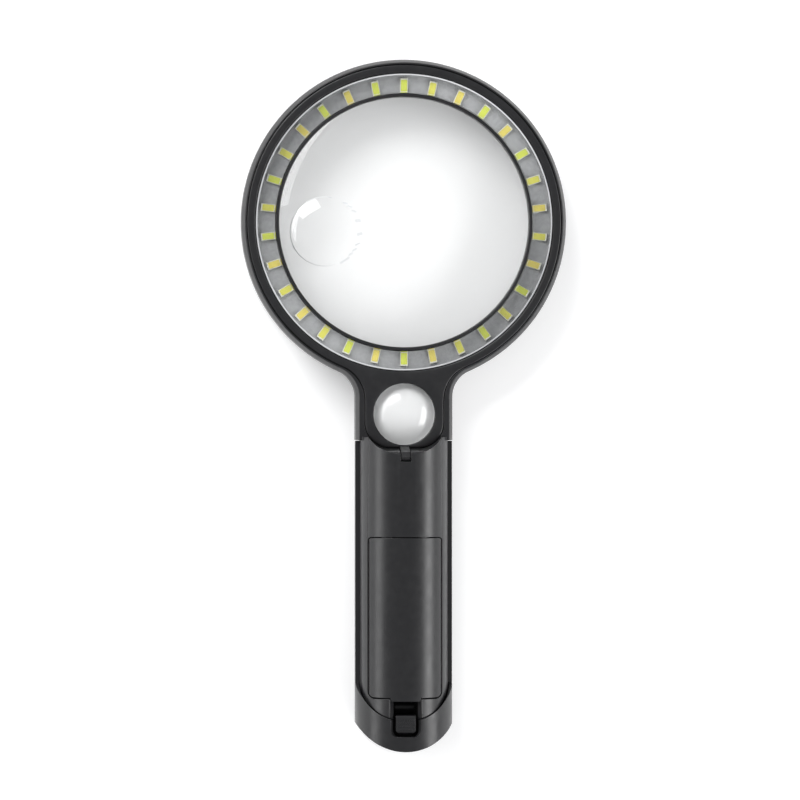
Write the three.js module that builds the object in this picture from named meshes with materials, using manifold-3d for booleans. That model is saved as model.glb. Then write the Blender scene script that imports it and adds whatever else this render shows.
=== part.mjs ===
// Hand-held low vision magnifier: a large biconvex lens with a stronger inset, a ring of 30 lamps
// round it, a small strong lens in the neck, and a grip that holds three AAA cells.
//
// Millimetres, +Z up. The magnifier lies on its front (eye side) face, so the lamp side looks up.
// +Y runs from the tail of the grip to the head. Pieces are laid out about the main lens axis, and
// the whole group is then moved along Y so that its box is centred on the origin.

import * as THREE from "three";
import { mergeVertices } from "three/addons/utils/BufferGeometryUtils.js";
import Module from "manifold-3d";

const wasm = await Module();
wasm.setup();

// ---- Driving dimensions ----------------------------------------------------------------------

const clearance = 0.3; // between pieces that touch, sit in one another or slide
const solderGap = 0.1; // under a soldered piece
const wall = 2; // moulded shells

// Head, as radii from the main lens axis outwards and heights from the table up
const apertureRadius = 48.6;
const innerWall = 1.3;
const boardWidth = 7;
const channelWall = 1.4;
const rimWidth = 5.7; // from the lamp channel to the outside of the ring
const rimChamferWidth = 1.3;
const rimChamferDepth = 3.4;
const rimLip = 0.6; // flat edge left between the rear cover and the rim's chamfer
const headHeight = 16;
const bezelHeight = 4; // parting line between front bezel and main housing
const bezelEdge = 3; // rounding of the bezel's front edge
const apertureFlare = 2.6; // the opening widens by this much at the front face
const apertureFlareDepth = 1.6;
const plateThickness = 1.3; // shelf under the rear cover
const coverThickness = 1.5;

// Main lens
const lensOverlap = 1.9; // the lens reaches this far under its seat
const lensSeatHeight = 5.4;
const lensEdge = 2.3;
const lensCurve = 230; // radius of both faces
const insetRadius = 13.5;
const insetHeight = 3.7; // of the inset's crown over the lens face
const insetCurve = 25.5;
const insetX = -30.7;
const insetY = -3.6;

// Lamps
const lampCount = 30;
const lampLength = 5.6;
const lampWidth = 3;
const lampHeight = 0.9;
const lampInset = 0.2; // from the board's inner edge to the lamps
const channelFloor = 1;
const boardThickness = 1.2;
const windowThickness = 1.4;
const windowSink = 0.7; // below the rim
const windowLedge = 0.5;

// Neck
const handleWidth = 37.7; // also the width of the neck
const neckFillet = 10.9; // where neck and ring meet
const coverMargin = 3.35; // neck flank outside the rear cover
const ductWidth = 2.65; // room for a lamp lead beside the small lens
const tubeWall = 1.25;
const neckLensLip = 0.85; // flange held by the retainer
const neckLensRise = 5.6; // dome
const neckLensFront = 1.5; // front face
const neckLensEdge = 1.6;
const neckLensHeight = 10; // underside of the flange
const neckLensInto = 0.4; // how far the small lens cuts into the ring's outline
const neckRim = 1.2; // rear cover between the small lens and the grip
const scoopRun = 2.8; // plan length of the concave wall that climbs from neck to grip
const scoopOverlap = 3.2; // how far that wall's foot lies past the neck joint
const scoopCorner = 10;
const catchWidth = 3.5;

// Grip
const strip = 1.65; // front cover's edge that shows beside the rear shell
const sideHeight = 10.5; // height of the front cover's side walls
const gripEdge = 5.5; // rounding of the front cover's long edges
const switchBay = 37.8; // from the neck joint to the battery door
const tailProud = 0.4; // tail cap over rear shell
const tailEnd = 5.8; // from latch recess to tail
const tailBow = 10.8; // length of the curved tail end
const tailLine = 8.7; // from the door to the bottom of the shell's curved end
const tailLineDepth = 14.2;
const shelfThickness = 1.2; // joins the rear shell across the grip above the tray

// Cells, tray and door
const cellDiameter = 10.5;
const cellLength = 44.5;
const cellGap = 0.25;
const nippleDiameter = 3.8;
const nippleLength = 0.8;
const trayWall = 1.5;
const traySide = 1.2;
const sheetThickness = 0.4; // contact plates
const sheetReach = 3.9; // from a cell's axis to the edge of its contact plate
const bumpRadius = 1.6;
const springLength = 4.7;
const springWire = 0.6;
const springTurns = 3;
const bumpHeight = 0.5;
const doorHeadroom = 1.15; // over the upper cell
const doorHalfWidth = 14.1;
const doorGap = 0.35;
const doorLead = 5.2; // from the door's upper edge to the tray
const doorTrail = 2; // from the tray to the door's lower edge
const doorCornerTop = 1.2;
const doorCornerEnd = 2.5;
const tongueLength = 1.3;
const tongueHalfWidth = 5.8;

// Door latch
const latchWidth = 7.7;
const latchLeg = 1.2; // thickness of the folded spring
const latchDepth = 10; // of the fold under the grip's crown
const latchVoid = 5.9; // opening between door and thumb tab
const tabLength = 6.5;
const tabSink = 1;
const tabThickness = 2.6;
const recessEnd = 1.3; // from tab to the end of the recess

// Switch and control board
const switchFromJoint = 18.3; // slider's place at off
const switchTravel = 6;
const sliderWidth = 9;
const sliderLength = 11;
const sliderSink = 0.4; // below the front face
const sliderThickness = 1;
const stemWidth = 3;
const stemLength = 4;
const stemHeight = 6;
const dishDepth = 1.7;
const dishWall = 1.8;
const switchBodyHeight = 4.4;
const controlLength = 24;
const controlWidth = 20;

// Wires and screws
const wireRadius = 0.5;
const screwRadius = 0.9;
const screwHeadRadius = 1.9;
const screwHeadHeight = 1.6;
const bossRadius = 2.6;
const bezelBossRadius = 2.2;

// ---- Sizes that follow -----------------------------------------------------------------------

const ringSegments = 48;
const neckSides = 28;
const handleHalf = handleWidth / 2;
const gripFloor = wall;

const wallOuter = apertureRadius + innerWall;
const boardInner = wallOuter + clearance;
const boardOuter = boardInner + boardWidth;
const channelOuter = boardOuter + clearance;
const channelOutside = channelOuter + channelWall;
const ringRadius = channelOuter + rimWidth;
const windowOuter = channelOuter + windowLedge - clearance;
const coverInner = windowOuter + clearance;
const coverRadius = ringRadius - rimChamferWidth - rimLip - clearance;
const lensRadius = apertureRadius + lensOverlap;
const lensPocket = lensRadius + clearance;

const lensShoulder = (lensRadius ** 2 - apertureRadius ** 2) / (2 * lensCurve);
const lensBottom = lensSeatHeight + lensShoulder + clearance;
const lensTop = lensBottom + lensEdge;
const floorBottom = lensTop + lensShoulder + clearance;
const boardBottom = floorBottom + channelFloor + clearance;
const boardTop = boardBottom + boardThickness;
const windowTop = headHeight - windowSink;
const windowBottom = windowTop - windowThickness;
const coverBottom = headHeight - coverThickness;
const plateTop = coverBottom - clearance;
const plateBottom = plateTop - plateThickness;

const neckSight = handleHalf - wall - ductWidth - tubeWall - clearance - neckLensLip;
const neckLensRadius = neckSight + neckLensLip;
const tubeInner = handleHalf - wall - ductWidth - tubeWall;
const neckLensY = -(ringRadius - neckLensInto + neckSight);
const coverNeckHalf = handleHalf - coverMargin - clearance;
const coverEndY = neckLensY - neckSight - neckRim;
const scoopBaseY = coverEndY - clearance;
const jointY = scoopBaseY + scoopOverlap;

const archHalf = handleHalf - strip;
const archStart = jointY + 1.2;
const trayFloor = gripFloor + clearance;
const lowerCellZ = trayFloor + trayWall + cellGap + cellDiameter / 2;
const cellX = cellDiameter / 2 + 0.15;
const upperCellZ = lowerCellZ + Math.sqrt((cellDiameter + cellGap) ** 2 - cellX ** 2);
const gripHeight = upperCellZ + cellDiameter / 2 + doorHeadroom + wall;
const archRise = gripHeight - sideHeight;

const doorTopY = jointY - switchBay;
const trayTopY = doorTopY - doorLead;
const headPlateY = trayTopY - trayWall - clearance - sheetThickness;
const tailPlateY = headPlateY - (cellLength + bumpHeight + springLength + 2 * clearance);
const trayEndY = tailPlateY - sheetThickness - clearance - trayWall;
const doorEndY = trayEndY - doorTrail;
const tongueEndY = doorEndY - tongueLength;
const tabTopY = tongueEndY - latchVoid;
const tabEndY = tabTopY - tabLength;
const recessEndY = tabEndY - recessEnd;
const tailEndY = recessEndY - tailEnd;
const tailLineY = doorEndY - tailLine;
const recessHalf = tongueHalfWidth + 0.1;
const latchLegY = tabTopY - latchLeg / 2;
const latchFoldZ = gripHeight - latchDepth;

const switchY = jointY - switchFromJoint;
const slotHead = switchY + stemLength / 2 + switchTravel + clearance;
const slotTail = switchY - stemLength / 2 - clearance;
const switchBodyBottom = dishDepth + dishWall + clearance;
const switchBodyTop = switchBodyBottom + switchBodyHeight;
const controlBottom = switchBodyTop + clearance;
const controlTop = controlBottom + boardThickness;
const controlHeadY = jointY - 8;
const shelfBottom = sideHeight + 2 * clearance;
const shelfTop = shelfBottom + shelfThickness;
const gripScrewX = 9.5;
const gripScrewY = doorTopY - 2.2;
const bezelScrewX = coverNeckHalf - 0.8;
const bezelScrewY = -(coverRadius + 0.4);
const bezelHeadZ = plateBottom - 2.2;

// ---- Solids ----------------------------------------------------------------------------------

// A closed three.js geometry as a solid that can be joined and cut.
function solid(geometry) {
  const bare = new THREE.BufferGeometry();
  bare.setAttribute("position", geometry.getAttribute("position").clone());
  if (geometry.index) bare.setIndex(geometry.index.clone());
  const merged = mergeVertices(bare, 1e-4);
  const mesh = new wasm.Mesh({
    numProp: 3,
    vertProperties: new Float32Array(merged.getAttribute("position").array),
    triVerts: new Uint32Array(merged.index.array),
  });
  mesh.merge();
  return new wasm.Manifold(mesh);
}

function joined(first, ...others) {
  return others.reduce((sum, next) => sum.add(next), first);
}

function cut(first, ...others) {
  return others.reduce((rest, next) => rest.subtract(next), first);
}

function box(x0, x1, y0, y1, z0, z1) {
  const geometry = new THREE.BoxGeometry(x1 - x0, y1 - y0, z1 - z0);
  return solid(geometry.translate((x0 + x1) / 2, (y0 + y1) / 2, (z0 + z1) / 2));
}

function cylinder(radius, z0, z1, x = 0, y = 0, sides = 20) {
  const geometry = new THREE.CylinderGeometry(radius, radius, z1 - z0, sides);
  return solid(geometry.rotateX(Math.PI / 2).translate(x, y, (z0 + z1) / 2));
}

// A cylinder that lies along Y.
function bar(radius, y0, y1, x, z, sides = 24) {
  const geometry = new THREE.CylinderGeometry(radius, radius, y1 - y0, sides);
  return solid(geometry.translate(x, (y0 + y1) / 2, z));
}

// A profile of [radius, height] points turned about the vertical axis through (x, y).
function turned(profile, x = 0, y = 0, sides = ringSegments) {
  const points = profile.map(([radius, height]) => new THREE.Vector2(radius, height));
  return solid(new THREE.LatheGeometry(points, sides).rotateX(Math.PI / 2).translate(x, y, 0));
}

// The same for a ring, whose profile closes on itself.
function turnedRing(profile, x = 0, y = 0, sides = ringSegments) {
  return turned([...profile, profile[0]], x, y, sides);
}

// Points of a flat outline extruded from height z0 to z1.
function plate(points, z0, z1) {
  const shape = new THREE.Shape(points);
  const geometry = new THREE.ExtrudeGeometry(shape, { depth: z1 - z0, bevelEnabled: false });
  return solid(geometry.translate(0, 0, z0));
}

// An outline of [x, z] points extruded along Y.
function section(points, y0, y1) {
  const shape = new THREE.Shape(points);
  const geometry = new THREE.ExtrudeGeometry(shape, { depth: y1 - y0, bevelEnabled: false });
  return solid(geometry.rotateX(Math.PI / 2).translate(0, y1, 0));
}

// An outline of [y, z] points extruded along X.
function sideSection(points, x0, x1) {
  const shape = new THREE.Shape(points);
  const geometry = new THREE.ExtrudeGeometry(shape, { depth: x1 - x0, bevelEnabled: false });
  return solid(geometry.rotateX(Math.PI / 2).rotateZ(Math.PI / 2).translate(x0, 0, 0));
}

// Outlines with the same number of points, one over another, joined by straight walls.
function loft(levels) {
  const count = levels[0].points.length;
  const positions = levels.flatMap(({ z, points }) => points.flatMap((p) => [p.x, p.y, z]));
  const faces = [];
  for (let level = 0; level + 1 < levels.length; level++) {
    for (let i = 0; i < count; i++) {
      const a = level * count + i;
      const b = level * count + ((i + 1) % count);
      faces.push(a, b, b + count, a, b + count, a + count);
    }
  }
  const top = (levels.length - 1) * count;
  for (const [a, b, c] of THREE.ShapeUtils.triangulateShape(levels[0].points, [])) {
    faces.push(c, b, a);
  }
  for (const [a, b, c] of THREE.ShapeUtils.triangulateShape(levels.at(-1).points, [])) {
    faces.push(top + a, top + b, top + c);
  }
  const geometry = new THREE.BufferGeometry();
  geometry.setAttribute("position", new THREE.Float32BufferAttribute(positions, 3));
  geometry.setIndex(faces);
  return solid(geometry);
}

// A round wire through the given points.
function wire(points, steps) {
  const path = new THREE.CatmullRomCurve3(points.map((p) => new THREE.Vector3(...p)));
  const profile = new THREE.Shape(arc(0, 0, wireRadius, 0, 1.6 * Math.PI, 4));
  return solid(
    new THREE.ExtrudeGeometry(profile, { steps, extrudePath: path, bevelEnabled: false }),
  );
}

// ---- Outlines --------------------------------------------------------------------------------

function arc(x, y, radius, from, to, steps) {
  const points = [];
  for (let i = 0; i <= steps; i++) {
    const angle = from + (to - from) * (steps ? i / steps : 0);
    points.push(new THREE.Vector2(x + radius * Math.cos(angle), y + radius * Math.sin(angle)));
  }
  return points;
}

// Ring and neck seen from above, with a fillet each side where they meet.
function headOutline(radius, neckHalf, fillet, endY, corner = 0) {
  const x = neckHalf + fillet;
  const y = -Math.sqrt((radius + fillet) ** 2 - x ** 2);
  const meet = Math.atan2(y, x);
  const right = neckHalf - corner;
  const end = endY + corner;
  const cornerSteps = corner ? 4 : 0;
  return [
    ...arc(right, end, corner, -Math.PI / 2, 0, cornerSteps),
    ...arc(x, y, fillet, Math.PI, meet + Math.PI, 4),
    ...arc(0, 0, radius, meet, Math.PI - meet, 42).slice(1, -1),
    ...arc(-x, y, fillet, -meet, 0, 4),
    ...arc(-right, end, corner, Math.PI, 1.5 * Math.PI, cornerSteps),
  ];
}

// The neck end of the rear cover, or the concave wall round it.
function scoopOutline(half, endY, corner) {
  return [
    ...arc(half - corner, endY + corner, corner, -Math.PI / 2, 0, 5),
    new THREE.Vector2(half, neckLensY),
    new THREE.Vector2(-half, neckLensY),
    ...arc(corner - half, endY + corner, corner, Math.PI, 1.5 * Math.PI, 5),
  ];
}

// Half an ellipse on a straight skirt: the grip's section, as [x, z] points.
function archOutline(half, rise, base, skirt = 0) {
  const points = [];
  const steps = 20;
  for (let i = 0; i <= steps; i++) {
    const angle = (Math.PI * i) / steps;
    points.push(new THREE.Vector2(half * Math.cos(angle), base + rise * Math.sin(angle)));
  }
  if (skirt) {
    points.push(new THREE.Vector2(-half, base - skirt));
    points.push(new THREE.Vector2(half, base - skirt));
  }
  return points;
}

function trayOutline(half, low, high, edge) {
  return [
    ...arc(half - edge, low + edge, edge, -Math.PI / 2, 0, 3),
    new THREE.Vector2(half, high),
    new THREE.Vector2(-half, high),
    ...arc(edge - half, low + edge, edge, Math.PI, 1.5 * Math.PI, 3),
  ];
}

// The grip from above, with its bowed tail end, drawn in by an inset.
function tailOutline(inset, headY) {
  const half = handleHalf - inset;
  const bow = tailBow * (half / handleHalf);
  const radius = (half ** 2 + bow ** 2) / (2 * bow);
  const end = tailEndY + inset;
  const spread = Math.asin(half / radius);
  return [
    ...arc(0, end + radius, radius, -Math.PI / 2 - spread, -Math.PI / 2 + spread, 14),
    new THREE.Vector2(half, headY),
    new THREE.Vector2(-half, headY),
  ];
}

// The part of the grip that the rear shell covers: straight sides and a half-elliptical end.
function shellOutline(grow) {
  const half = archHalf + grow;
  const points = [];
  const steps = 16;
  for (let i = 0; i <= steps; i++) {
    const angle = Math.PI + (Math.PI * i) / steps;
    const y = tailLineY + tailLineDepth + (tailLineDepth + grow) * Math.sin(angle);
    points.push(new THREE.Vector2(half * Math.cos(angle), y));
  }
  points.push(new THREE.Vector2(half, 0));
  points.push(new THREE.Vector2(-half, 0));
  return points;
}

function doorOutline(grow) {
  const half = doorHalfWidth + grow;
  const top = doorTopY + grow;
  const end = doorEndY - grow;
  const topR = doorCornerTop + grow;
  const endR = doorCornerEnd + grow;
  return [
    ...arc(half - endR, end + endR, endR, -Math.PI / 2, 0, 3),
    ...arc(half - topR, top - topR, topR, 0, Math.PI / 2, 2),
    ...arc(topR - half, top - topR, topR, Math.PI / 2, Math.PI, 2),
    ...arc(endR - half, end + endR, endR, Math.PI, 1.5 * Math.PI, 3),
  ];
}

// ---- Shared shapes ---------------------------------------------------------------------------

const archSolid = (drawnIn, y0, y1, skirt = 0) =>
  section(archOutline(archHalf - drawnIn, archRise - drawnIn, sideHeight, skirt), y0, y1);

const tailCapSolid = (drawnIn) =>
  section(
    archOutline(handleHalf - drawnIn, archRise + tailProud - drawnIn, sideHeight - 0.1),
    tailEndY - 1,
    tailLineY + tailLineDepth,
  );

// The hollow at the upper end of the grip, round the small lens.
function scoop(grow, bottom) {
  const base = scoopOutline(coverNeckHalf + clearance + grow, scoopBaseY - grow, scoopCorner + grow);
  const lip = scoopOutline(
    coverNeckHalf + 2 * clearance + grow,
    scoopBaseY - scoopRun - grow,
    scoopCorner + 1 + grow,
  );
  return loft([
    { z: bottom, points: base },
    { z: headHeight, points: base },
    { z: gripHeight, points: lip },
    { z: gripHeight + wall, points: lip },
  ]);
}

function latchRecess() {
  const corner = 2.5;
  return plate(
    [
      ...arc(recessHalf - corner, recessEndY + corner, corner, -Math.PI / 2, 0, 3),
      new THREE.Vector2(recessHalf, doorEndY),
      new THREE.Vector2(-recessHalf, doorEndY),
      ...arc(corner - recessHalf, recessEndY + corner, corner, Math.PI, 1.5 * Math.PI, 3),
    ],
    shelfTop,
    gripHeight + wall,
  );
}

// ---- Shells ----------------------------------------------------------------------------------

function frontBezel() {
  const head = (inset) =>
    headOutline(ringRadius - inset, handleHalf - inset, neckFillet + inset, jointY);
  const outside = loft([
    { z: 0, points: head(bezelEdge) },
    { z: 0.3 * bezelEdge, points: head(0.3 * bezelEdge) },
    { z: bezelEdge, points: head(0) },
    { z: bezelHeight, points: head(0) },
  ]);
  const hollow = plate(
    headOutline(ringRadius - wall, handleHalf - wall, neckFillet + wall, jointY - 1),
    wall,
    bezelHeight + 1,
  );
  const seat = turnedRing([
    [apertureRadius, 0.3 * bezelEdge],
    [lensPocket + tubeWall, 0.3 * bezelEdge],
    [lensPocket + tubeWall, lensTop],
    [lensPocket, lensTop],
    [lensPocket, lensSeatHeight],
    [apertureRadius, lensSeatHeight],
  ]);
  const opening = turned([
    [0, -1],
    [apertureRadius + apertureFlare, -1],
    [apertureRadius, apertureFlareDepth],
    [apertureRadius, headHeight],
    [0, headHeight],
  ]);
  const neckTube = cylinder(neckLensRadius, 0, neckLensHeight - clearance, 0, neckLensY, neckSides);
  const neckWell = cylinder(neckSight + 0.1, -1, headHeight, 0, neckLensY, neckSides);
  const bosses = [-1, 1].map((side) =>
    cylinder(bezelBossRadius, wall / 2, bezelHeadZ - 2.9, side * bezelScrewX, bezelScrewY, 12)
      .intersect(plate(head(wall + clearance), 0, headHeight)),
  );
  const pilots = [-1, 1].map((side) =>
    cylinder(screwRadius + clearance, wall, headHeight, side * bezelScrewX, bezelScrewY, 14),
  );
  return cut(joined(cut(outside, hollow), seat, neckTube, ...bosses), opening, neckWell, ...pilots);
}

function mainHousing() {
  const bottom = bezelHeight + clearance;
  const head = (inset) =>
    headOutline(ringRadius - inset, handleHalf - inset, neckFillet + inset, jointY);
  const rim = loft([
    { z: bottom, points: head(0) },
    { z: headHeight - rimChamferDepth, points: head(0) },
    { z: headHeight - 0.1, points: head(rimChamferWidth) },
  ]);
  const under = plate(
    headOutline(ringRadius - wall, handleHalf - wall, neckFillet + wall, jointY - 1),
    bottom - 1,
    plateBottom,
  );
  const core = cylinder(channelOutside - 0.2, 0, headHeight + 1, 0, 0, ringSegments);
  const channel = turnedRing([
    [apertureRadius, floorBottom],
    [channelOutside, floorBottom],
    [channelOutside, plateTop],
    [coverInner, plateTop],
    [coverInner, windowBottom - clearance],
    [channelOuter, windowBottom - clearance],
    [channelOuter, floorBottom + channelFloor],
    [wallOuter, floorBottom + channelFloor],
    [wallOuter, windowTop + 0.1],
    [apertureRadius, windowTop + 0.1],
  ]);
  const coverRecess = plate(
    headOutline(
      coverRadius + clearance,
      coverNeckHalf + clearance,
      neckFillet + coverMargin - clearance,
      scoopBaseY,
      scoopCorner,
    ),
    plateTop,
    headHeight + 1,
  ).subtract(core);
  const grip = archSolid(0, tailEndY, archStart)
    .intersect(plate(shellOutline(0), sideHeight + clearance, gripHeight + 1));
  const gripHollow = archSolid(wall, tailEndY - 1, jointY, 1).subtract(
    scoop(wall, plateBottom),
  );
  const throat = archSolid(wall, jointY - 1, archStart + 4).intersect(
    box(-handleHalf, handleHalf, jointY - 1, archStart + 4, sideHeight, plateBottom),
  );
  const tube = cylinder(tubeInner + tubeWall, bottom, plateBottom + 0.5, 0, neckLensY, neckSides);
  const well = cylinder(tubeInner, 0, headHeight + 1, 0, neckLensY, neckSides);
  const shelf = box(
    -archHalf + wall / 2,
    archHalf - wall / 2,
    trayTopY + clearance,
    doorTopY + 1.5,
    shelfBottom,
    shelfTop,
  );
  const bosses = [-1, 1].map((side) =>
    cylinder(bossRadius, bezelHeadZ - 2.6, plateBottom + 0.5, side * bezelScrewX, bezelScrewY, 14)
      .intersect(plate(head(0.5), 0, headHeight)),
  );
  const screwHoles = [-1, 1].flatMap((side) => [
    cylinder(screwRadius + clearance, 0, headHeight, side * bezelScrewX, bezelScrewY, 14),
    cylinder(
      screwHeadRadius + clearance,
      bezelHeadZ,
      headHeight,
      side * bezelScrewX,
      bezelScrewY,
      14,
    ),
    cylinder(screwRadius + clearance, 0, gripHeight, side * gripScrewX, gripScrewY, 14),
    cylinder(2 * wireRadius, 0, boardBottom, side * leadX, leadY, 10),
  ]);
  const catchSlot = box(
    -catchWidth / 2 - clearance,
    catchWidth / 2 + clearance,
    scoopBaseY - scoopRun - 2.2,
    scoopBaseY + 1,
    plateTop,
    gripHeight + 1,
  );
  const shell = joined(
    cut(rim, under, core),
    channel,
    cut(grip, gripHollow, throat, shelf),
    shelf,
    tube,
    ...bosses,
  );
  return cut(
    shell,
    coverRecess,
    scoop(0, plateTop),
    well,
    catchSlot,
    plate(doorOutline(doorGap), shelfTop, gripHeight + 1),
    latchRecess(),
    ...screwHoles,
  );
}

function rearCover() {
  const outside = plate(
    headOutline(
      coverRadius,
      coverNeckHalf,
      neckFillet + coverMargin,
      coverEndY,
      scoopCorner - clearance,
    ),
    coverBottom,
    headHeight,
  );
  const lensHole = cylinder(neckSight + 0.15, coverBottom - 1, headHeight + 1, 0, neckLensY, neckSides);
  const middle = cylinder(coverInner, coverBottom - 1, headHeight + 1, 0, 0, ringSegments);
  const lift = gripHeight - headHeight;
  const catchStrap = sideSection(
    [
      new THREE.Vector2(coverEndY - clearance, coverBottom),
      new THREE.Vector2(coverEndY + 0.6, coverBottom),
      new THREE.Vector2(coverEndY + 0.6, headHeight),
      new THREE.Vector2(scoopBaseY - 0.9 * scoopRun + 1.2, headHeight + 0.9 * lift),
      new THREE.Vector2(scoopBaseY - scoopRun - 0.5, gripHeight - 0.4),
      new THREE.Vector2(scoopBaseY - scoopRun - 1.8, gripHeight - 1),
      new THREE.Vector2(scoopBaseY - scoopRun - 0.6, headHeight + 0.8 * lift),
    ].reverse(),
    -catchWidth / 2,
    catchWidth / 2,
  );
  return cut(joined(outside, catchStrap), middle, lensHole);
}

function handleCover() {
  const tray = section(
    trayOutline(handleHalf, 0, sideHeight, gripEdge),
    tailEndY - 1,
    jointY - clearance,
  );
  const outside = joined(tray, tailCapSolid(0)).intersect(
    plate(tailOutline(0, jointY - clearance), -1, gripHeight + 1),
  );
  const trayHollow = section(
    trayOutline(handleHalf - wall, gripFloor, sideHeight + 1, gripEdge - wall),
    tailEndY - 1,
    jointY,
  );
  const hollow = joined(trayHollow, tailCapSolid(wall)).intersect(
    plate(tailOutline(wall, jointY), 0, gripHeight + 1),
  );
  const shellRoom = plate(shellOutline(clearance), sideHeight, gripHeight + 2);
  const dishHalf = sliderWidth / 2 + 2 * clearance;
  const dishHead = switchY + sliderLength / 2 + switchTravel + 2 * clearance;
  const dishTail = switchY - sliderLength / 2 - 2 * clearance;
  const dishBlock = box(
    -dishHalf - wall,
    dishHalf + wall,
    dishTail - wall,
    dishHead + wall,
    wall / 2,
    dishDepth + dishWall,
  );
  const dish = box(-dishHalf, dishHalf, dishTail, dishHead, -1, dishDepth);
  const slot = box(
    -stemWidth / 2 - clearance,
    stemWidth / 2 + clearance,
    slotTail,
    slotHead,
    -1,
    sideHeight,
  );
  const bosses = [-1, 1].map((side) =>
    cylinder(bossRadius, wall / 2, shelfBottom - clearance, side * gripScrewX, gripScrewY, 14),
  );
  const pilots = [-1, 1].map((side) =>
    cylinder(screwRadius + clearance, 2 * wall, gripHeight, side * gripScrewX, gripScrewY, 14),
  );
  const posts = [-1, 1].map((side) =>
    cylinder(1.6, wall / 2, controlBottom - clearance, side * 7.6, controlHeadY - 3, 12),
  );
  return cut(
    joined(cut(outside, hollow), dishBlock, ...bosses, ...posts),
    shellRoom,
    cylinder(neckLensRadius + clearance, -1, sideHeight, 0, neckLensY, neckSides),
    dish,
    slot,
    latchRecess(),
    ...pilots,
  );
}

// ---- Optics and lamps ------------------------------------------------------------------------

// Points on a spherical face from its rim to the axis, crowned up or down.
function crown(radius, edgeZ, rise, steps) {
  const curve = (radius ** 2 + rise ** 2) / (2 * Math.abs(rise));
  const points = [];
  for (let i = 0; i <= steps; i++) {
    const r = (radius * (steps - i)) / steps;
    const drop = Math.sqrt(curve ** 2 - r ** 2) - (curve - Math.abs(rise));
    points.push([r, edgeZ + Math.sign(rise) * drop]);
  }
  return points;
}

function mainLens() {
  const sag = lensCurve - Math.sqrt(lensCurve ** 2 - lensRadius ** 2);
  const body = turned([
    ...crown(lensRadius, lensBottom, -sag, 3).reverse(),
    ...crown(lensRadius, lensTop, sag, 3),
  ]);
  const offset = Math.hypot(insetX, insetY);
  const faceZ = lensTop + sag - (lensCurve - Math.sqrt(lensCurve ** 2 - offset ** 2));
  const top = faceZ + insetHeight;
  const drop = insetCurve - Math.sqrt(insetCurve ** 2 - insetRadius ** 2);
  const inset = turned(
    [[0, lensTop], [insetRadius, lensTop], ...crown(insetRadius, top - drop, drop, 4)],
    insetX,
    insetY,
    24,
  );
  return body.add(inset);
}

function neckLens() {
  const top = neckLensHeight + neckLensEdge;
  return turned(
    [
      ...crown(neckLensRadius, neckLensHeight, -neckLensFront, 2).reverse(),
      [neckLensRadius, top],
      ...crown(neckSight, top, neckLensRise, 5),
    ],
    0,
    neckLensY,
    neckSides,
  );
}

function neckLensRetainer() {
  const bottom = neckLensHeight + neckLensEdge + clearance;
  return turnedRing(
    [
      [neckSight + 0.1, bottom],
      [tubeInner - clearance, bottom],
      [tubeInner - clearance, plateTop],
      [neckSight + 0.1, plateTop],
    ],
    0,
    neckLensY,
    neckSides,
  );
}

function ledWindow() {
  return turnedRing([
    [boardInner, windowBottom],
    [windowOuter, windowBottom],
    [windowOuter, windowTop - 0.3],
    [windowOuter - 0.3, windowTop],
    [boardInner, windowTop],
  ]);
}

function ledBoard() {
  return turnedRing([
    [boardInner, boardBottom],
    [boardOuter, boardBottom],
    [boardOuter, boardTop],
    [boardInner, boardTop],
  ]);
}

// One lamp package about its own centre, with its long side towards the lens.
function lamp() {
  return box(-lampWidth / 2, lampWidth / 2, -lampLength / 2, lampLength / 2, 0, lampHeight);
}

// ---- Battery bay -----------------------------------------------------------------------------

function batteryDoor() {
  const crownShell = archSolid(0, doorEndY - 2, doorTopY + 1).subtract(
    archSolid(wall, doorEndY - 3, doorTopY + 2, 1),
  );
  // The lower end follows an arc about the hinge, so it leaves the opening without rubbing.
  const reach = doorTopY - doorEndY;
  const swing = solid(
    new THREE.CylinderGeometry(reach, reach, 3 * doorHalfWidth, 180)
      .rotateZ(Math.PI / 2)
      .translate(0, doorTopY, gripHeight),
  );
  const panel = crownShell
    .intersect(plate(doorOutline(0), sideHeight, gripHeight + 1))
    .intersect(swing);
  const tongue = crownShell.intersect(
    box(
      -tongueHalfWidth,
      tongueHalfWidth,
      tongueEndY,
      doorEndY + 3,
      sideHeight,
      gripHeight + 1,
    ),
  );
  const under = archSolid(wall + clearance, doorTopY - 2, doorTopY + 2.3).subtract(
    archSolid(wall + clearance + 1.2, doorTopY - 3, doorTopY + 3, 1),
  );
  const root = archSolid(wall - 0.5, doorTopY - 2, doorTopY - 0.4).subtract(
    archSolid(wall + clearance + 1.2, doorTopY - 3, doorTopY + 3, 1),
  );
  const tabs = [-1, 1].map((side) =>
    joined(under, root).intersect(
      box(side * 7 - 2, side * 7 + 2, doorTopY - 4, doorTopY + 4, sideHeight, gripHeight),
    ),
  );
  return joined(panel, tongue, latchFold(), ...tabs);
}

// Folded leg under the door's tongue: the fixed half of the latch spring.
function latchFold() {
  const outer = (tongueEndY + latchLeg - latchLegY) / 2;
  const middle = latchLegY + outer;
  const points = [
    new THREE.Vector2(tongueEndY + latchLeg, gripHeight - wall / 2),
    new THREE.Vector2(tongueEndY, gripHeight - wall / 2),
    ...arc(middle, latchFoldZ, outer - latchLeg, 0, -Math.PI, 6),
    ...arc(middle, latchFoldZ, outer, -Math.PI, 0, 8),
  ];
  return sideSection(points.reverse(), -latchWidth / 2, latchWidth / 2);
}

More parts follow.
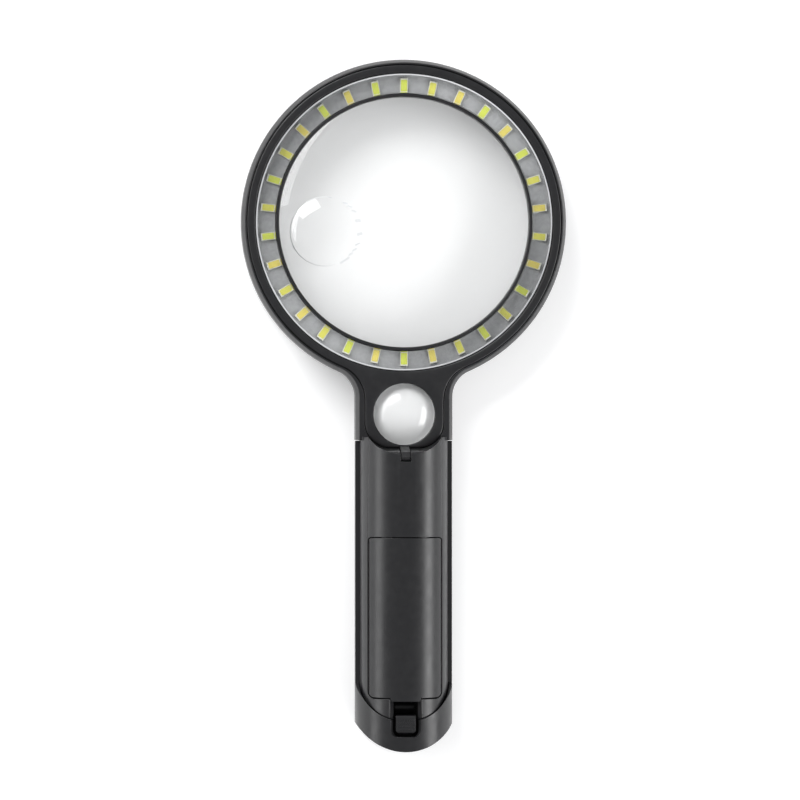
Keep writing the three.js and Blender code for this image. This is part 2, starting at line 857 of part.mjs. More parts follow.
// Free leg of the latch spring with the thumb tab on top.
function doorLatch() {
  const top = gripHeight - tabSink;
  const points = [
    new THREE.Vector2(latchLegY, latchFoldZ + clearance),
    new THREE.Vector2(latchLegY + latchLeg, latchFoldZ + clearance),
    new THREE.Vector2(latchLegY + latchLeg, top - 1.2),
    new THREE.Vector2(tabTopY + 0.2, top),
    new THREE.Vector2(tabEndY + 1, top),
    new THREE.Vector2(tabEndY, top - 1),
    new THREE.Vector2(tabEndY - 0.7, top - tabThickness + 0.6),
    new THREE.Vector2(tabEndY - 0.5, top - tabThickness),
    new THREE.Vector2(latchLegY, top - tabThickness),
  ];
  return sideSection(points, -latchWidth / 2, latchWidth / 2);
}

function batteryTray() {
  const half = cellX + cellDiameter / 2 + clearance + traySide;
  const endWall = [
    new THREE.Vector2(-half, trayFloor),
    new THREE.Vector2(half, trayFloor),
    new THREE.Vector2(half, lowerCellZ + 3.5),
    new THREE.Vector2(4.6, upperCellZ + 1.4),
    new THREE.Vector2(3.6, upperCellZ + 4),
    new THREE.Vector2(-3.6, upperCellZ + 4),
    new THREE.Vector2(-4.6, upperCellZ + 1.4),
    new THREE.Vector2(-half, lowerCellZ + 3.5),
  ];
  const floor = box(-half, half, trayEndY, trayTopY, trayFloor, trayFloor + trayWall);
  const sides = [-1, 1].map((side) => {
    const edge = side * (half - traySide / 2);
    return box(
      edge - traySide / 2,
      edge + traySide / 2,
      trayEndY,
      trayTopY,
      trayFloor,
      lowerCellZ + 2,
    );
  });
  const headWall = section(endWall, trayTopY - trayWall, trayTopY);
  const tailWall = section(endWall, trayEndY, trayEndY + trayWall);
  const leadHoles = [
    bar(2 * wireRadius, trayTopY - 2 * trayWall, trayTopY + 1, -cellX, lowerCellZ, 10),
    bar(2 * wireRadius, trayEndY - 1, trayEndY + 2 * trayWall, 0, upperCellZ, 10),
  ];
  return cut(joined(floor, ...sides, headWall, tailWall), ...leadHoles);
}

// A cell with its positive nipple towards +Y or -Y.
function cell(x, z, direction) {
  const r = cellDiameter / 2;
  const body = cellLength - nippleLength;
  const profile = [
    [0, -body],
    [r - 0.9, -body],
    [r, -body + 0.6],
    [r, -0.6],
    [r - 0.6, 0],
    [nippleDiameter / 2, 0],
    [nippleDiameter / 2, nippleLength],
    [0, nippleLength],
  ].map(([radius, height]) => new THREE.Vector2(radius, height));
  const geometry = new THREE.LatheGeometry(profile, 16);
  const shoulder = bumpHeight + clearance + nippleLength;
  if (direction > 0) return solid(geometry.translate(x, headPlateY - shoulder, z));
  return solid(geometry.rotateX(Math.PI).translate(x, tailPlateY + shoulder, z));
}

// A conical spring on a plate face at y, reaching towards +Y or -Y.
function contactSpring(x, y, z, direction) {
  const turnsSteps = 7 * springTurns;
  const points = [];
  for (let i = 0; i <= turnsSteps; i++) {
    const share = i / turnsSteps;
    const angle = 2 * Math.PI * springTurns * share;
    const radius = 3.4 - 1.3 * share;
    const rise = (springLength - springWire / 2) * share - 0.1;
    points.push(
      new THREE.Vector3(
        x + radius * Math.cos(angle),
        y + direction * rise,
        z + radius * Math.sin(angle),
      ),
    );
  }
  const path = new THREE.CatmullRomCurve3(points);
  const profile = new THREE.Shape(arc(0, 0, springWire / 2, 0, 1.5 * Math.PI, 3));
  return solid(
    new THREE.ExtrudeGeometry(profile, {
      steps: turnsSteps,
      extrudePath: path,
      bevelEnabled: false,
    }),
  );
}

function contactBump(x, y, z, direction) {
  const tip = y + direction * bumpHeight;
  const foot = y - direction * (sheetThickness / 4);
  return bar(bumpRadius, Math.min(foot, tip), Math.max(foot, tip), x, z, 12);
}

// Plate that covers the given cell places, on the side of face y away from the cells.
function contactSheet(places, y, direction) {
  const sheets = places.map(([x, z]) => {
    const [y0, y1] = direction > 0 ? [y - sheetThickness, y] : [y, y + sheetThickness];
    return box(x - sheetReach, x + sheetReach, y0, y1, z - sheetReach, z + sheetReach);
  });
  return joined(...sheets);
}

function contactPositiveTerminal() {
  return joined(
    contactSheet([[-cellX, lowerCellZ]], headPlateY, -1),
    contactBump(-cellX, headPlateY, lowerCellZ, -1),
  );
}

function contactBridgeUpper() {
  return joined(
    contactSheet(
      [
        [cellX, lowerCellZ],
        [cellX / 2, (lowerCellZ + upperCellZ) / 2],
        [0, upperCellZ],
      ],
      headPlateY,
      -1,
    ),
    contactSpring(cellX, headPlateY, lowerCellZ, -1),
    contactBump(0, headPlateY, upperCellZ, -1),
  );
}

function contactBridgeLower() {
  return joined(
    contactSheet([[-cellX, lowerCellZ], [0, lowerCellZ], [cellX, lowerCellZ]], tailPlateY, 1),
    contactSpring(-cellX, tailPlateY, lowerCellZ, 1),
    contactBump(cellX, tailPlateY, lowerCellZ, 1),
  );
}

function contactNegativeTerminal() {
  return joined(
    contactSheet([[0, upperCellZ]], tailPlateY, 1),
    contactSpring(0, tailPlateY, upperCellZ, 1),
  );
}

// ---- Switch, control board and wiring ----------------------------------------------------------

function switchSlider() {
  const pad = box(
    -sliderWidth / 2,
    sliderWidth / 2,
    switchY - sliderLength / 2,
    switchY + sliderLength / 2,
    sliderSink + 0.4,
    sliderSink + sliderThickness,
  );
  const ribs = [-3, -1.5, 0, 1.5, 3].map((step) =>
    box(
      0.6 - sliderWidth / 2,
      sliderWidth / 2 - 0.6,
      switchY + step - 0.35,
      switchY + step + 0.35,
      sliderSink,
      sliderSink + 0.5,
    ),
  );
  const stem = box(
    -stemWidth / 2,
    stemWidth / 2,
    switchY - stemLength / 2,
    switchY + stemLength / 2,
    sliderSink + sliderThickness / 2,
    stemHeight,
  );
  return joined(pad, ...ribs, stem);
}

function switchBody() {
  const body = box(-4.5, 4.5, slotTail - 2.5, slotHead + 2.5, switchBodyBottom, switchBodyTop);
  const track = box(
    -stemWidth / 2 - clearance,
    stemWidth / 2 + clearance,
    slotTail,
    slotHead,
    switchBodyBottom - 1,
    stemHeight + clearance,
  );
  return body.subtract(track);
}

function controlBoard() {
  const half = controlWidth / 2;
  const board = box(
    -half,
    half,
    controlHeadY - controlLength,
    controlHeadY,
    controlBottom,
    controlTop,
  );
  const driver = box(
    -2.6,
    2.6,
    controlHeadY - 9,
    controlHeadY - 4,
    controlTop - 0.1,
    controlTop + 1.5,
  );
  const coil = cylinder(2.6, controlTop - 0.1, controlTop + 2.4, -5.2, controlHeadY - 15, 16);
  const capacitor = box(
    3.4,
    6.6,
    controlHeadY - 17,
    controlHeadY - 13,
    controlTop - 0.1,
    controlTop + 1.7,
  );
  return joined(board, driver, coil, capacitor);
}

const leadRadius = (boardInner + boardOuter) / 2 + 1;
const leadX = leadRadius * Math.sin(Math.PI / 18);
const leadY = -leadRadius * Math.cos(Math.PI / 18);

function lampLead(side) {
  const duct = handleHalf - wall - ductWidth / 2;
  const low = bezelHeight + 2.6;
  return wire(
    [
      [side * 6, controlHeadY + clearance + 0.1, controlBottom + 0.6],
      [side * 9.5, controlHeadY + 4, low + 0.8],
      [side * duct, neckLensY - 8, low],
      [side * duct, neckLensY, low],
      [side * (duct - 1.6), neckLensY + 8, low],
      [side * (bezelScrewX - 4), bezelScrewY - 1.2, low],
      [side * (leadX + 0.8), leadY - 5, low],
      [side * leadX, leadY - 1, low + 0.6],
      [side * leadX, leadY, low + 1.8],
      [side * leadX, leadY, boardBottom - clearance],
    ],
    20,
  );
}

function batteryLeadPositive() {
  const boardEnd = controlHeadY - controlLength - clearance - 0.1;
  return wire(
    [
      [-cellX, headPlateY + sheetThickness + clearance, lowerCellZ],
      [-cellX, trayTopY + 0.6, lowerCellZ],
      [-5.2, doorTopY + 1, lowerCellZ - 0.4],
      [-5, boardEnd, controlBottom + 0.6],
    ],
    12,
  );
}

function batteryLeadNegative() {
  const trayHalf = cellX + cellDiameter / 2 + clearance + traySide;
  const side = (trayHalf + handleHalf - wall) / 2;
  const low = gripFloor + gripEdge - wall + 0.6;
  const boardEnd = controlHeadY - controlLength - clearance - 0.1;
  return wire(
    [
      [0, tailPlateY - sheetThickness - clearance, upperCellZ],
      [0, trayEndY - 0.4, upperCellZ],
      [0.8, trayEndY - 1.4, upperCellZ - 1.6],
      [4, trayEndY - 1.4, upperCellZ - 8],
      [side - 3, trayEndY - 2, low + 1],
      [side - 0.4, trayEndY - 0.6, low],
      [side, trayEndY + 3, low],
      [side, (trayEndY + trayTopY) / 2, low],
      [side, trayTopY, low],
      [side - 1, doorTopY + 1, low + 0.6],
      [6, boardEnd, controlBottom + 0.6],
    ],
    28,
  );
}

function screw(headBottom, shankLength) {
  return turned(
    [
      [0, headBottom - shankLength],
      [0.5, headBottom - shankLength],
      [screwRadius, headBottom - shankLength + 1],
      [screwRadius, headBottom],
      [screwHeadRadius, headBottom],
      [screwHeadRadius, headBottom + 0.6 * screwHeadHeight],
      [0.6 * screwHeadRadius, headBottom + screwHeadHeight],
      [0, headBottom + screwHeadHeight],
    ],
    0,
    0,
    8,
  );
}

// ---- Assembly ---------------------------------------------------------------------------------

const finishes = {
  blackShell: { color: 0x1d1e20, roughness: 0.42, metalness: 0 },
  clear: { color: 0xeef2f4, roughness: 0.05, metalness: 0 },
  board: { color: 0xb9bbb8, roughness: 0.5, metalness: 0 },
  lamp: { color: 0xc9c672, roughness: 0.45, metalness: 0 },
  nickel: { color: 0xb4b4b0, roughness: 0.3, metalness: 1 },
  cellWrap: { color: 0x2b4a6a, roughness: 0.4, metalness: 0 },
  greenBoard: { color: 0x1f5a35, roughness: 0.5, metalness: 0 },
  redWire: { color: 0x9c1f1c, roughness: 0.5, metalness: 0 },
  blackWire: { color: 0x151515, roughness: 0.5, metalness: 0 },
};

const magnifier = new THREE.Group();

function add(name, body, finish, x = 0, y = 0) {
  const made = body.getMesh();
  const geometry = new THREE.BufferGeometry();
  geometry.setAttribute("position", new THREE.BufferAttribute(made.vertProperties, 3));
  geometry.setIndex(new THREE.BufferAttribute(made.triVerts, 1));
  const mesh = new THREE.Mesh(geometry, new THREE.MeshStandardMaterial(finishes[finish]));
  mesh.name = name;
  mesh.position.set(x, y, 0);
  magnifier.add(mesh);
  return mesh;
}

add("main_housing", mainHousing(), "blackShell");
add("front_bezel", frontBezel(), "blackShell");
add("rear_cover", rearCover(), "blackShell");
add("handle_cover", handleCover(), "blackShell");
add("battery_door", batteryDoor(), "blackShell");
add("door_latch", doorLatch(), "blackShell");

add("main_lens", mainLens(), "clear");
add("neck_lens", neckLens(), "clear");
add("neck_lens_retainer", neckLensRetainer(), "blackShell");
add("led_window", ledWindow(), "clear");
add("led_board", ledBoard(), "board");

const lampRadius = boardInner + lampInset + lampLength / 2;
for (let i = 0; i < lampCount; i++) {
  const angle = (2 * Math.PI * i) / lampCount;
  const name = "led_" + String(i + 1).padStart(2, "0");
  const mesh = add(name, lamp(), "lamp", lampRadius * Math.sin(angle), lampRadius * Math.cos(angle));
  mesh.position.z = boardTop + solderGap;
  mesh.rotation.z = -angle;
}

add("battery_tray", batteryTray(), "blackShell");
add("battery_cell_1", cell(-cellX, lowerCellZ, 1), "cellWrap");
add("battery_cell_2", cell(cellX, lowerCellZ, -1), "cellWrap");
add("battery_cell_3", cell(0, upperCellZ, 1), "cellWrap");
add("contact_positive_terminal", contactPositiveTerminal(), "nickel");
add("contact_negative_terminal", contactNegativeTerminal(), "nickel");
add("contact_bridge_upper", contactBridgeUpper(), "nickel");
add("contact_bridge_lower", contactBridgeLower(), "nickel");

add("control_board", controlBoard(), "greenBoard");
add("switch_body", switchBody(), "nickel");
add("switch_slider", switchSlider(), "blackShell");
add("wire_battery_positive", batteryLeadPositive(), "redWire");
add("wire_battery_negative", batteryLeadNegative(), "blackWire");
add("led_lead_positive", lampLead(-1), "redWire");
add("led_lead_negative", lampLead(1), "blackWire");

[-1, 1].forEach((side, i) => {
  const gripScrew = screw(shelfTop + clearance, 7);
  const bezelScrew = screw(bezelHeadZ + clearance, 6);
  add("handle_screw_" + (i + 1), gripScrew, "nickel", side * gripScrewX, gripScrewY);
  add("bezel_screw_" + (i + 1), bezelScrew, "nickel", side * bezelScrewX, bezelScrewY);
});

magnifier.position.y = -(ringRadius + tailEndY) / 2;

export default magnifier;
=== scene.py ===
import math

import bmesh
import bpy
from mathutils import Matrix, Vector


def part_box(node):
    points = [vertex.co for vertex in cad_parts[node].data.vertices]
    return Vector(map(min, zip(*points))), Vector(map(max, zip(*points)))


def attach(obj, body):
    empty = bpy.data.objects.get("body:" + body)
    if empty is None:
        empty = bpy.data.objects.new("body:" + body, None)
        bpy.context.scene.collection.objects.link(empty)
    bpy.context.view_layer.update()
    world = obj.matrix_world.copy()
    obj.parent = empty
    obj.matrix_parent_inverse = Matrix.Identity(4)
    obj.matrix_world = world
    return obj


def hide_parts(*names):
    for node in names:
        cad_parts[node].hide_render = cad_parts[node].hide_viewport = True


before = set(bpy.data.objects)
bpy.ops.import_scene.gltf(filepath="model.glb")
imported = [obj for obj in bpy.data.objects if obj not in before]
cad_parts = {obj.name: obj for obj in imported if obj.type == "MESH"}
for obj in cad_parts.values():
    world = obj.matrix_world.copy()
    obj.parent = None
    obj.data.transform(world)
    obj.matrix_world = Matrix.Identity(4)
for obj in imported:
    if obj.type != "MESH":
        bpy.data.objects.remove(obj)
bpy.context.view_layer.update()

# Shapes are made in millimetres about the main lens axis, then moved into the frame in metres.
MM = 0.001
lens_low, lens_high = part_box("main_lens")
HEAD = (lens_low + lens_high) / 2

# ---- Sizes in millimetres ---------------------------------------------------------------------

GAP = 0.3
WALL = 2.0
RING = 63.2
APERTURE = 48.6
HEAD_TOP = 16.0
PARTING = 4.0
EDGE = 3.0
CHAMFER = 1.3
CHAMFER_DEPTH = 3.4
CHANNEL_IN = 49.9
CHANNEL_OUT = 57.5
CHANNEL_SKIN = 58.9
COVER_IN = 58.0
COVER_OUT = 61.0
WINDOW_OUT = 57.7
BOARD_IN = 50.2
BOARD_OUT = 57.2
BOARD_LOW = 10.42
BOARD_TOP = 11.62
LAMPS = 30
LAMP_INSET = 0.2
LAMP_HALF_WIDTH = 1.5
LAMP_HALF_LENGTH = 2.8
LAMP_HEIGHT = 0.9
WINDOW_LOW = 13.9
WINDOW_TOP = 15.3
FLOOR_LOW = 9.12
PLATE_LOW = 12.9
PLATE_TOP = 14.2
COVER_LOW = 14.5

HALF = 18.85
FILLET = 10.9
SIGHT = 11.8
NECK_Y = -74.6
NECK_LENS = 12.65
LENS_R = 50.5
LENS_CURVE = 230.0
LENS_EDGE_LOW = 6.11
LENS_EDGE_TOP = 8.41
LENS_POCKET = 50.8
INSET_X = -30.7
INSET_Y = -3.6
INSET_R = 13.5
INSET_CURVE = 25.5
INSET_RISE = 3.7
TUBE = 12.95
TUBE_WALL = 1.25
COVER_HALF = 15.2
COVER_MARGIN = 3.35
SCREW_HOLE = 1.2
BEZEL_SCREW = (14.4, -61.4)
COVER_END = -87.6
SCOOP_Y = -87.9
SCOOP_RUN = 2.8
SCOOP_CORNER = 10.0
JOINT = -84.7

SIDE_TOP = 10.5
GRIP_TOP = 26.995
ARCH_HALF = 17.2
ARCH_RISE = 16.495
ARCH_START = -83.5
CAP_PROUD = 0.4
DOOR_TOP = -122.5
DOOR_END = -184.4
DOOR_HALF = 14.1
DOOR_GAP = 0.35
TONGUE_END = -185.7
TONGUE_HALF = 5.8
TAB_TOP = -191.6
TAB_END = -198.1
RECESS_END = -199.4
RECESS_HALF = 5.9
TAIL_END = -205.2
TAIL_BOW = 10.8
TAIL_LINE = -193.1
TAIL_DEPTH = 14.2
CAP_START = TAIL_LINE + TAIL_DEPTH
TRAY_EDGE = 5.5
HANDLE_BOSS = 2.6
HANDLE_SCREW = (9.5, DOOR_TOP - 2.2)
SHELF_LOW = 11.1
SHELF_TOP = 12.3
FOLD_Z = 16.995
LATCH_HALF = 3.85
LATCH_LEG = 1.2
LATCH_Y = -192.2

SWITCH_Y = -103.0
CELL_R = 5.25
CELL_LENGTH = 44.5
CELL_X = 5.4
CELL_LOW = 9.3
CELL_HIGH = 18.595
PLATE_HEAD = -129.9
PLATE_TAIL = -180.2

# ---- Solids -----------------------------------------------------------------------------------

scene = bpy.context.scene


def solid(vertices, faces):
    """A closed mesh as an object, with its faces turned outwards."""
    mesh = bpy.data.meshes.new("solid")
    mesh.from_pydata(vertices, [], faces)
    form = bmesh.new()
    form.from_mesh(mesh)
    bmesh.ops.recalc_face_normals(form, faces=form.faces)
    form.to_mesh(mesh)
    form.free()
    made = bpy.data.objects.new("solid", mesh)
    scene.collection.objects.link(made)
    return made


def combine(kind, first, others):
    """first with the others joined, cut away or kept in common; the others are used up."""
    for other in others:
        step = first.modifiers.new("step", "BOOLEAN")
        step.operation = kind
        step.solver = "MANIFOLD"
        step.object = other
    graph = bpy.context.evaluated_depsgraph_get()
    mesh = bpy.data.meshes.new_from_object(first.evaluated_get(graph))
    first.modifiers.clear()
    first.data = mesh
    for other in others:
        bpy.data.objects.remove(other)
    return first


def joined(first, *others):
    return combine("UNION", first, others)


def cut(first, *others):
    return combine("DIFFERENCE", first, others)


def common(first, *others):
    return combine("INTERSECT", first, others)


def loft(levels):
    """Outlines with the same number of points, one over another."""
    count = len(levels[0][1])
    vertices = [(x, y, z) for z, points in levels for x, y in points]
    faces = [
        (i + k * count, (i + 1) % count + k * count, (i + 1) % count + (k + 1) * count, i + (k + 1) * count)
        for k in range(len(levels) - 1)
        for i in range(count)
    ]
    last = (len(levels) - 1) * count
    faces += [tuple(range(count)), tuple(range(last, last + count))]
    return solid(vertices, faces)


def plate(points, low, high):
    return loft([(low, points), (high, points)])


def turn_mesh(made, matrix):
    made.data.transform(matrix)
    if matrix.determinant() < 0:
        made.data.flip_normals()
    return made


def section(points, low, high):
    """(x, z) points drawn out along Y."""
    made = plate(points, -high, -low)
    return turn_mesh(made, Matrix(((1, 0, 0, 0), (0, 0, -1, 0), (0, 1, 0, 0), (0, 0, 0, 1))))


def side_section(points, low, high):
    """(y, z) points drawn out along X."""
    made = plate(points, low, high)
    return turn_mesh(made, Matrix(((0, 0, 1, 0), (1, 0, 0, 0), (0, 1, 0, 0), (0, 0, 0, 1))))


def box(x0, x1, y0, y1, z0, z1):
    return plate([(x0, y0), (x1, y0), (x1, y1), (x0, y1)], z0, z1)


def turned(profile, x=0.0, y=0.0, sides=192, ring=False):
    """(radius, height) points turned about the vertical through (x, y)."""
    vertices, rows = [], []
    for radius, height in profile:
        if radius == 0:
            rows.append([len(vertices)] * sides)
            vertices.append((x, y, height))
            continue
        rows.append(list(range(len(vertices), len(vertices) + sides)))
        for i in range(sides):
            angle = 2 * math.pi * i / sides
            vertices.append((x + radius * math.cos(angle), y + radius * math.sin(angle), height))
    pairs = list(zip(rows, rows[1:]))
    if ring:
        pairs.append((rows[-1], rows[0]))
    faces = []
    for low, high in pairs:
        for i in range(sides):
            j = (i + 1) % sides
            corners = dict.fromkeys((low[i], low[j], high[j], high[i]))
            if len(corners) > 2:
                faces.append(tuple(corners))
    return solid(vertices, faces)


def cylinder(radius, low, high, x=0.0, y=0.0, sides=64):
    return turned([(0, low), (radius, low), (radius, high), (0, high)], x, y, sides)


def tube(points, radius, sides=12):
    """A round bar through points, which are close enough to be joined straight."""
    points = [Vector(p) for p in points]
    vertices, faces = [], []
    side = None
    for i, point in enumerate(points):
        ahead = (points[min(i + 1, len(points) - 1)] - points[max(i - 1, 0)]).normalized()
        side = (side or ahead.orthogonal()) - ahead * ahead.dot(side or ahead.orthogonal())
        side.normalize()
        across = ahead.cross(side)
        for k in range(sides):
            angle = 2 * math.pi * k / sides
            vertices.append(point + radius * (math.cos(angle) * side + math.sin(angle) * across))
        if i:
            for k in range(sides):
                j = (k + 1) % sides
                base = (i - 1) * sides
                faces.append((base + k, base + j, base + sides + j, base + sides + k))
    last = (len(points) - 1) * sides
    faces += [tuple(range(sides)), tuple(range(last, last + sides))]
    return solid(vertices, faces)


# ---- Outlines ---------------------------------------------------------------------------------


def arc(x, y, radius, start, end, steps):
    if not radius:
        return [(x, y)]
    angles = [start + (end - start) * i / steps for i in range(steps + 1)]
    return [(x + radius * math.cos(a), y + radius * math.sin(a)) for a in angles]


def head_outline(radius, neck_half, fillet, end, corner=0.0):
    x = neck_half + fillet
    y = -math.sqrt((radius + fillet) ** 2 - x**2)
    meet = math.atan2(y, x)
    right = neck_half - corner
    return (
        arc(right, end + corner, corner, -math.pi / 2, 0, 16)
        + arc(x, y, fillet, math.pi, meet + math.pi, 16)
        + arc(0, 0, radius, meet, math.pi - meet, 192)[1:-1]
        + arc(-x, y, fillet, -meet, 0, 16)
        + arc(-right, end + corner, corner, math.pi, 1.5 * math.pi, 16)
    )


def head(inset, end=JOINT):
    return head_outline(RING - inset, HALF - inset, FILLET + inset, end)


def cover_outline(grow, end, corner):
    return head_outline(COVER_OUT + grow, COVER_HALF + grow, FILLET + COVER_MARGIN - grow, end, corner)


def scoop_outline(half, end, corner):
    return (
        arc(half - corner, end + corner, corner, -math.pi / 2, 0, 20)
        + [(half, NECK_Y), (-half, NECK_Y)]
        + arc(corner - half, end + corner, corner, math.pi, 1.5 * math.pi, 20)
    )


def arch_outline(half, rise, base, skirt=0.0):
    steps = 72
    points = []
    for i in range(steps + 1):
        angle = math.pi * i / steps
        points.append((half * math.cos(angle), base + rise * math.sin(angle)))
    if skirt:
        points += [(-half, base - skirt), (half, base - skirt)]
    return points


def tray_outline(half, low, high, edge):
    return (
        arc(half - edge, low + edge, edge, -math.pi / 2, 0, 12)
        + [(half, high), (-half, high)]
        + arc(edge - half, low + edge, edge, math.pi, 1.5 * math.pi, 12)
    )


def tail_outline(inset, head_y):
    half = HALF - inset
    bow = TAIL_BOW * half / HALF
    radius = (half**2 + bow**2) / (2 * bow)
    spread = math.asin(half / radius)
    start = -math.pi / 2 - spread
    points = arc(0, TAIL_END + inset + radius, radius, start, -math.pi / 2 + spread, 72)
    return points + [(half, head_y), (-half, head_y)]


def shell_outline(grow):
    half = ARCH_HALF + grow
    points = []
    for i in range(73):
        angle = math.pi + math.pi * i / 72
        y = CAP_START + (TAIL_DEPTH + grow) * math.sin(angle)
        points.append((half * math.cos(angle), y))
    return points + [(half, 0), (-half, 0)]


def door_outline(grow):
    half, top, end = DOOR_HALF + grow, DOOR_TOP + grow, DOOR_END - grow
    small, large = 1.2 + grow, 2.5 + grow
    return (
        arc(half - large, end + large, large, -math.pi / 2, 0, 12)
        + arc(half - small, top - small, small, 0, math.pi / 2, 8)
        + arc(small - half, top - small, small, math.pi / 2, math.pi, 8)
        + arc(large - half, end + large, large, math.pi, 1.5 * math.pi, 12)
    )


def recess_outline(inset=0.0):
    half, end, corner = RECESS_HALF - inset, RECESS_END + 0.2 * inset, 2.5
    return (
        arc(half - corner, end + corner, corner, -math.pi / 2, 0, 12)
        + [(half, DOOR_END), (-half, DOOR_END)]
        + arc(corner - half, end + corner, corner, math.pi, 1.5 * math.pi, 12)
    )


def recess(bottom):
    """The latch's room, whose walls lean in below the grip's surface."""
    levels = [(bottom, 1.3), (GRIP_TOP - 2.4, 1.2), (GRIP_TOP - 1, 0.1), (GRIP_TOP + WALL, 0)]
    return loft([(z, recess_outline(inset)) for z, inset in levels])


# ---- Shells -----------------------------------------------------------------------------------


def arch(drawn_in, low, high, skirt=0.0):
    return section(arch_outline(ARCH_HALF - drawn_in, ARCH_RISE - drawn_in, SIDE_TOP, skirt), low, high)


def tail_cap(drawn_in):
    """The tray's section with the tail's arch on it, in one outline."""
    half, low, edge = HALF - drawn_in, drawn_in, TRAY_EDGE - drawn_in
    outline = (
        arc(half - edge, low + edge, edge, -math.pi / 2, 0, 12)
        + arch_outline(half, ARCH_RISE + CAP_PROUD - drawn_in, SIDE_TOP)
        + arc(edge - half, low + edge, edge, math.pi, 1.5 * math.pi, 12)
    )
    return section(outline, TAIL_END - 1, CAP_START)


def scoop(grow, bottom):
    """The wall that climbs from the neck to the grip, leaning back to a rounded lip."""
    levels = [(bottom, 0.0), (HEAD_TOP, 0.0)]
    rise = GRIP_TOP - HEAD_TOP
    for share, back in ((0.45, 0.22), (0.88, 0.44), (0.93, 0.53), (0.965, 0.66), (0.985, 0.8), (1, 1)):
        levels.append((HEAD_TOP + rise * share, back))
    levels.append((GRIP_TOP + WALL, 1.0))
    return loft(
        [
            (
                z,
                scoop_outline(
                    COVER_HALF + GAP + grow + GAP * share,
                    SCOOP_Y - grow - SCOOP_RUN * share,
                    SCOOP_CORNER + grow + share,
                ),
            )
            for z, share in levels
        ]
    )


def main_housing():
    low = PARTING + GAP
    rim = loft(
        [
            (low, head(0.25)),
            (low + 0.25, head(0)),
            (HEAD_TOP - CHAMFER_DEPTH - 0.3, head(0)),
            (HEAD_TOP - CHAMFER_DEPTH + 0.1, head(0.07)),
            (HEAD_TOP - CHAMFER_DEPTH + 0.5, head(0.2)),
            (HEAD_TOP - 0.5, head(CHAMFER - 0.15)),
            (HEAD_TOP - 0.24, head(CHAMFER - 0.02)),
            (HEAD_TOP - 0.1, head(CHAMFER + 0.2)),
        ]
    )
    under = plate(head(WALL, JOINT - 1), low - 1, PLATE_LOW)
    channel = turned(
        [
            (APERTURE, FLOOR_LOW),
            (CHANNEL_SKIN, FLOOR_LOW),
            (CHANNEL_SKIN, PLATE_TOP),
            (COVER_IN, PLATE_TOP),
            (COVER_IN, WINDOW_LOW - GAP),
            (CHANNEL_OUT, WINDOW_LOW - GAP),
            (CHANNEL_OUT, FLOOR_LOW + 1),
            (CHANNEL_IN, FLOOR_LOW + 1),
            (CHANNEL_IN, WINDOW_TOP - 0.1),
            (CHANNEL_IN - 0.2, WINDOW_TOP + 0.1),
            (APERTURE + 0.3, WINDOW_TOP + 0.1),
            (APERTURE, WINDOW_TOP - 0.2),
        ],
        ring=True,
    )
    cover_room = plate(cover_outline(GAP, SCOOP_Y, SCOOP_CORNER), PLATE_TOP, HEAD_TOP + 1)
    cover_room = cut(cover_room, cylinder(CHANNEL_SKIN - 0.4, 0, HEAD_TOP + 2, sides=192))
    grip = common(
        arch(0, TAIL_END, ARCH_START),
        plate(shell_outline(0), SIDE_TOP + GAP, GRIP_TOP + 1),
    )
    hollow = cut(arch(WALL, TAIL_END - 1, JOINT, 1), scoop(WALL, PLATE_LOW))
    throat = common(
        arch(WALL, JOINT - 1, ARCH_START + 4),
        box(-HALF, HALF, JOINT - 1, ARCH_START + 4, SIDE_TOP, PLATE_LOW),
    )
    shelf_box = (1 - ARCH_HALF, ARCH_HALF - 1, DOOR_TOP - 4.9, DOOR_TOP + 1.5, SHELF_LOW, SHELF_TOP)
    tube_wall = cylinder(TUBE + TUBE_WALL, low, PLATE_LOW + 0.5, 0, NECK_Y, 96)
    shell = cut(rim, under, cylinder(CHANNEL_SKIN - 0.2, 0, HEAD_TOP + 1, sides=192))
    shell = joined(shell, channel, cut(grip, hollow, throat, box(*shelf_box)), box(*shelf_box), tube_wall)
    holes = []
    for side in (-1, 1):
        boss = common(
            cylinder(2.6, 8.1, PLATE_LOW + 0.5, side * BEZEL_SCREW[0], BEZEL_SCREW[1], 32),
            plate(head(0.5), 0, HEAD_TOP),
        )
        shell = joined(shell, boss)
        holes.append(cylinder(SCREW_HOLE, 0, HEAD_TOP, side * BEZEL_SCREW[0], BEZEL_SCREW[1], 32))
        holes.append(cylinder(2.2, 10.7, HEAD_TOP, side * BEZEL_SCREW[0], BEZEL_SCREW[1], 32))
        holes.append(cylinder(SCREW_HOLE, 0, GRIP_TOP, side * HANDLE_SCREW[0], HANDLE_SCREW[1], 32))
    catch_slot = box(-2.05, 2.05, SCOOP_Y - SCOOP_RUN - 2.2, SCOOP_Y + 1, PLATE_TOP, GRIP_TOP + 1)
    return cut(
        shell,
        cover_room,
        scoop(0, PLATE_TOP),
        cylinder(TUBE, 0, HEAD_TOP + 1, 0, NECK_Y, 96),
        catch_slot,
        plate(door_outline(DOOR_GAP), SHELF_TOP, GRIP_TOP + 1),
        recess(SHELF_TOP),
        *holes,
    )


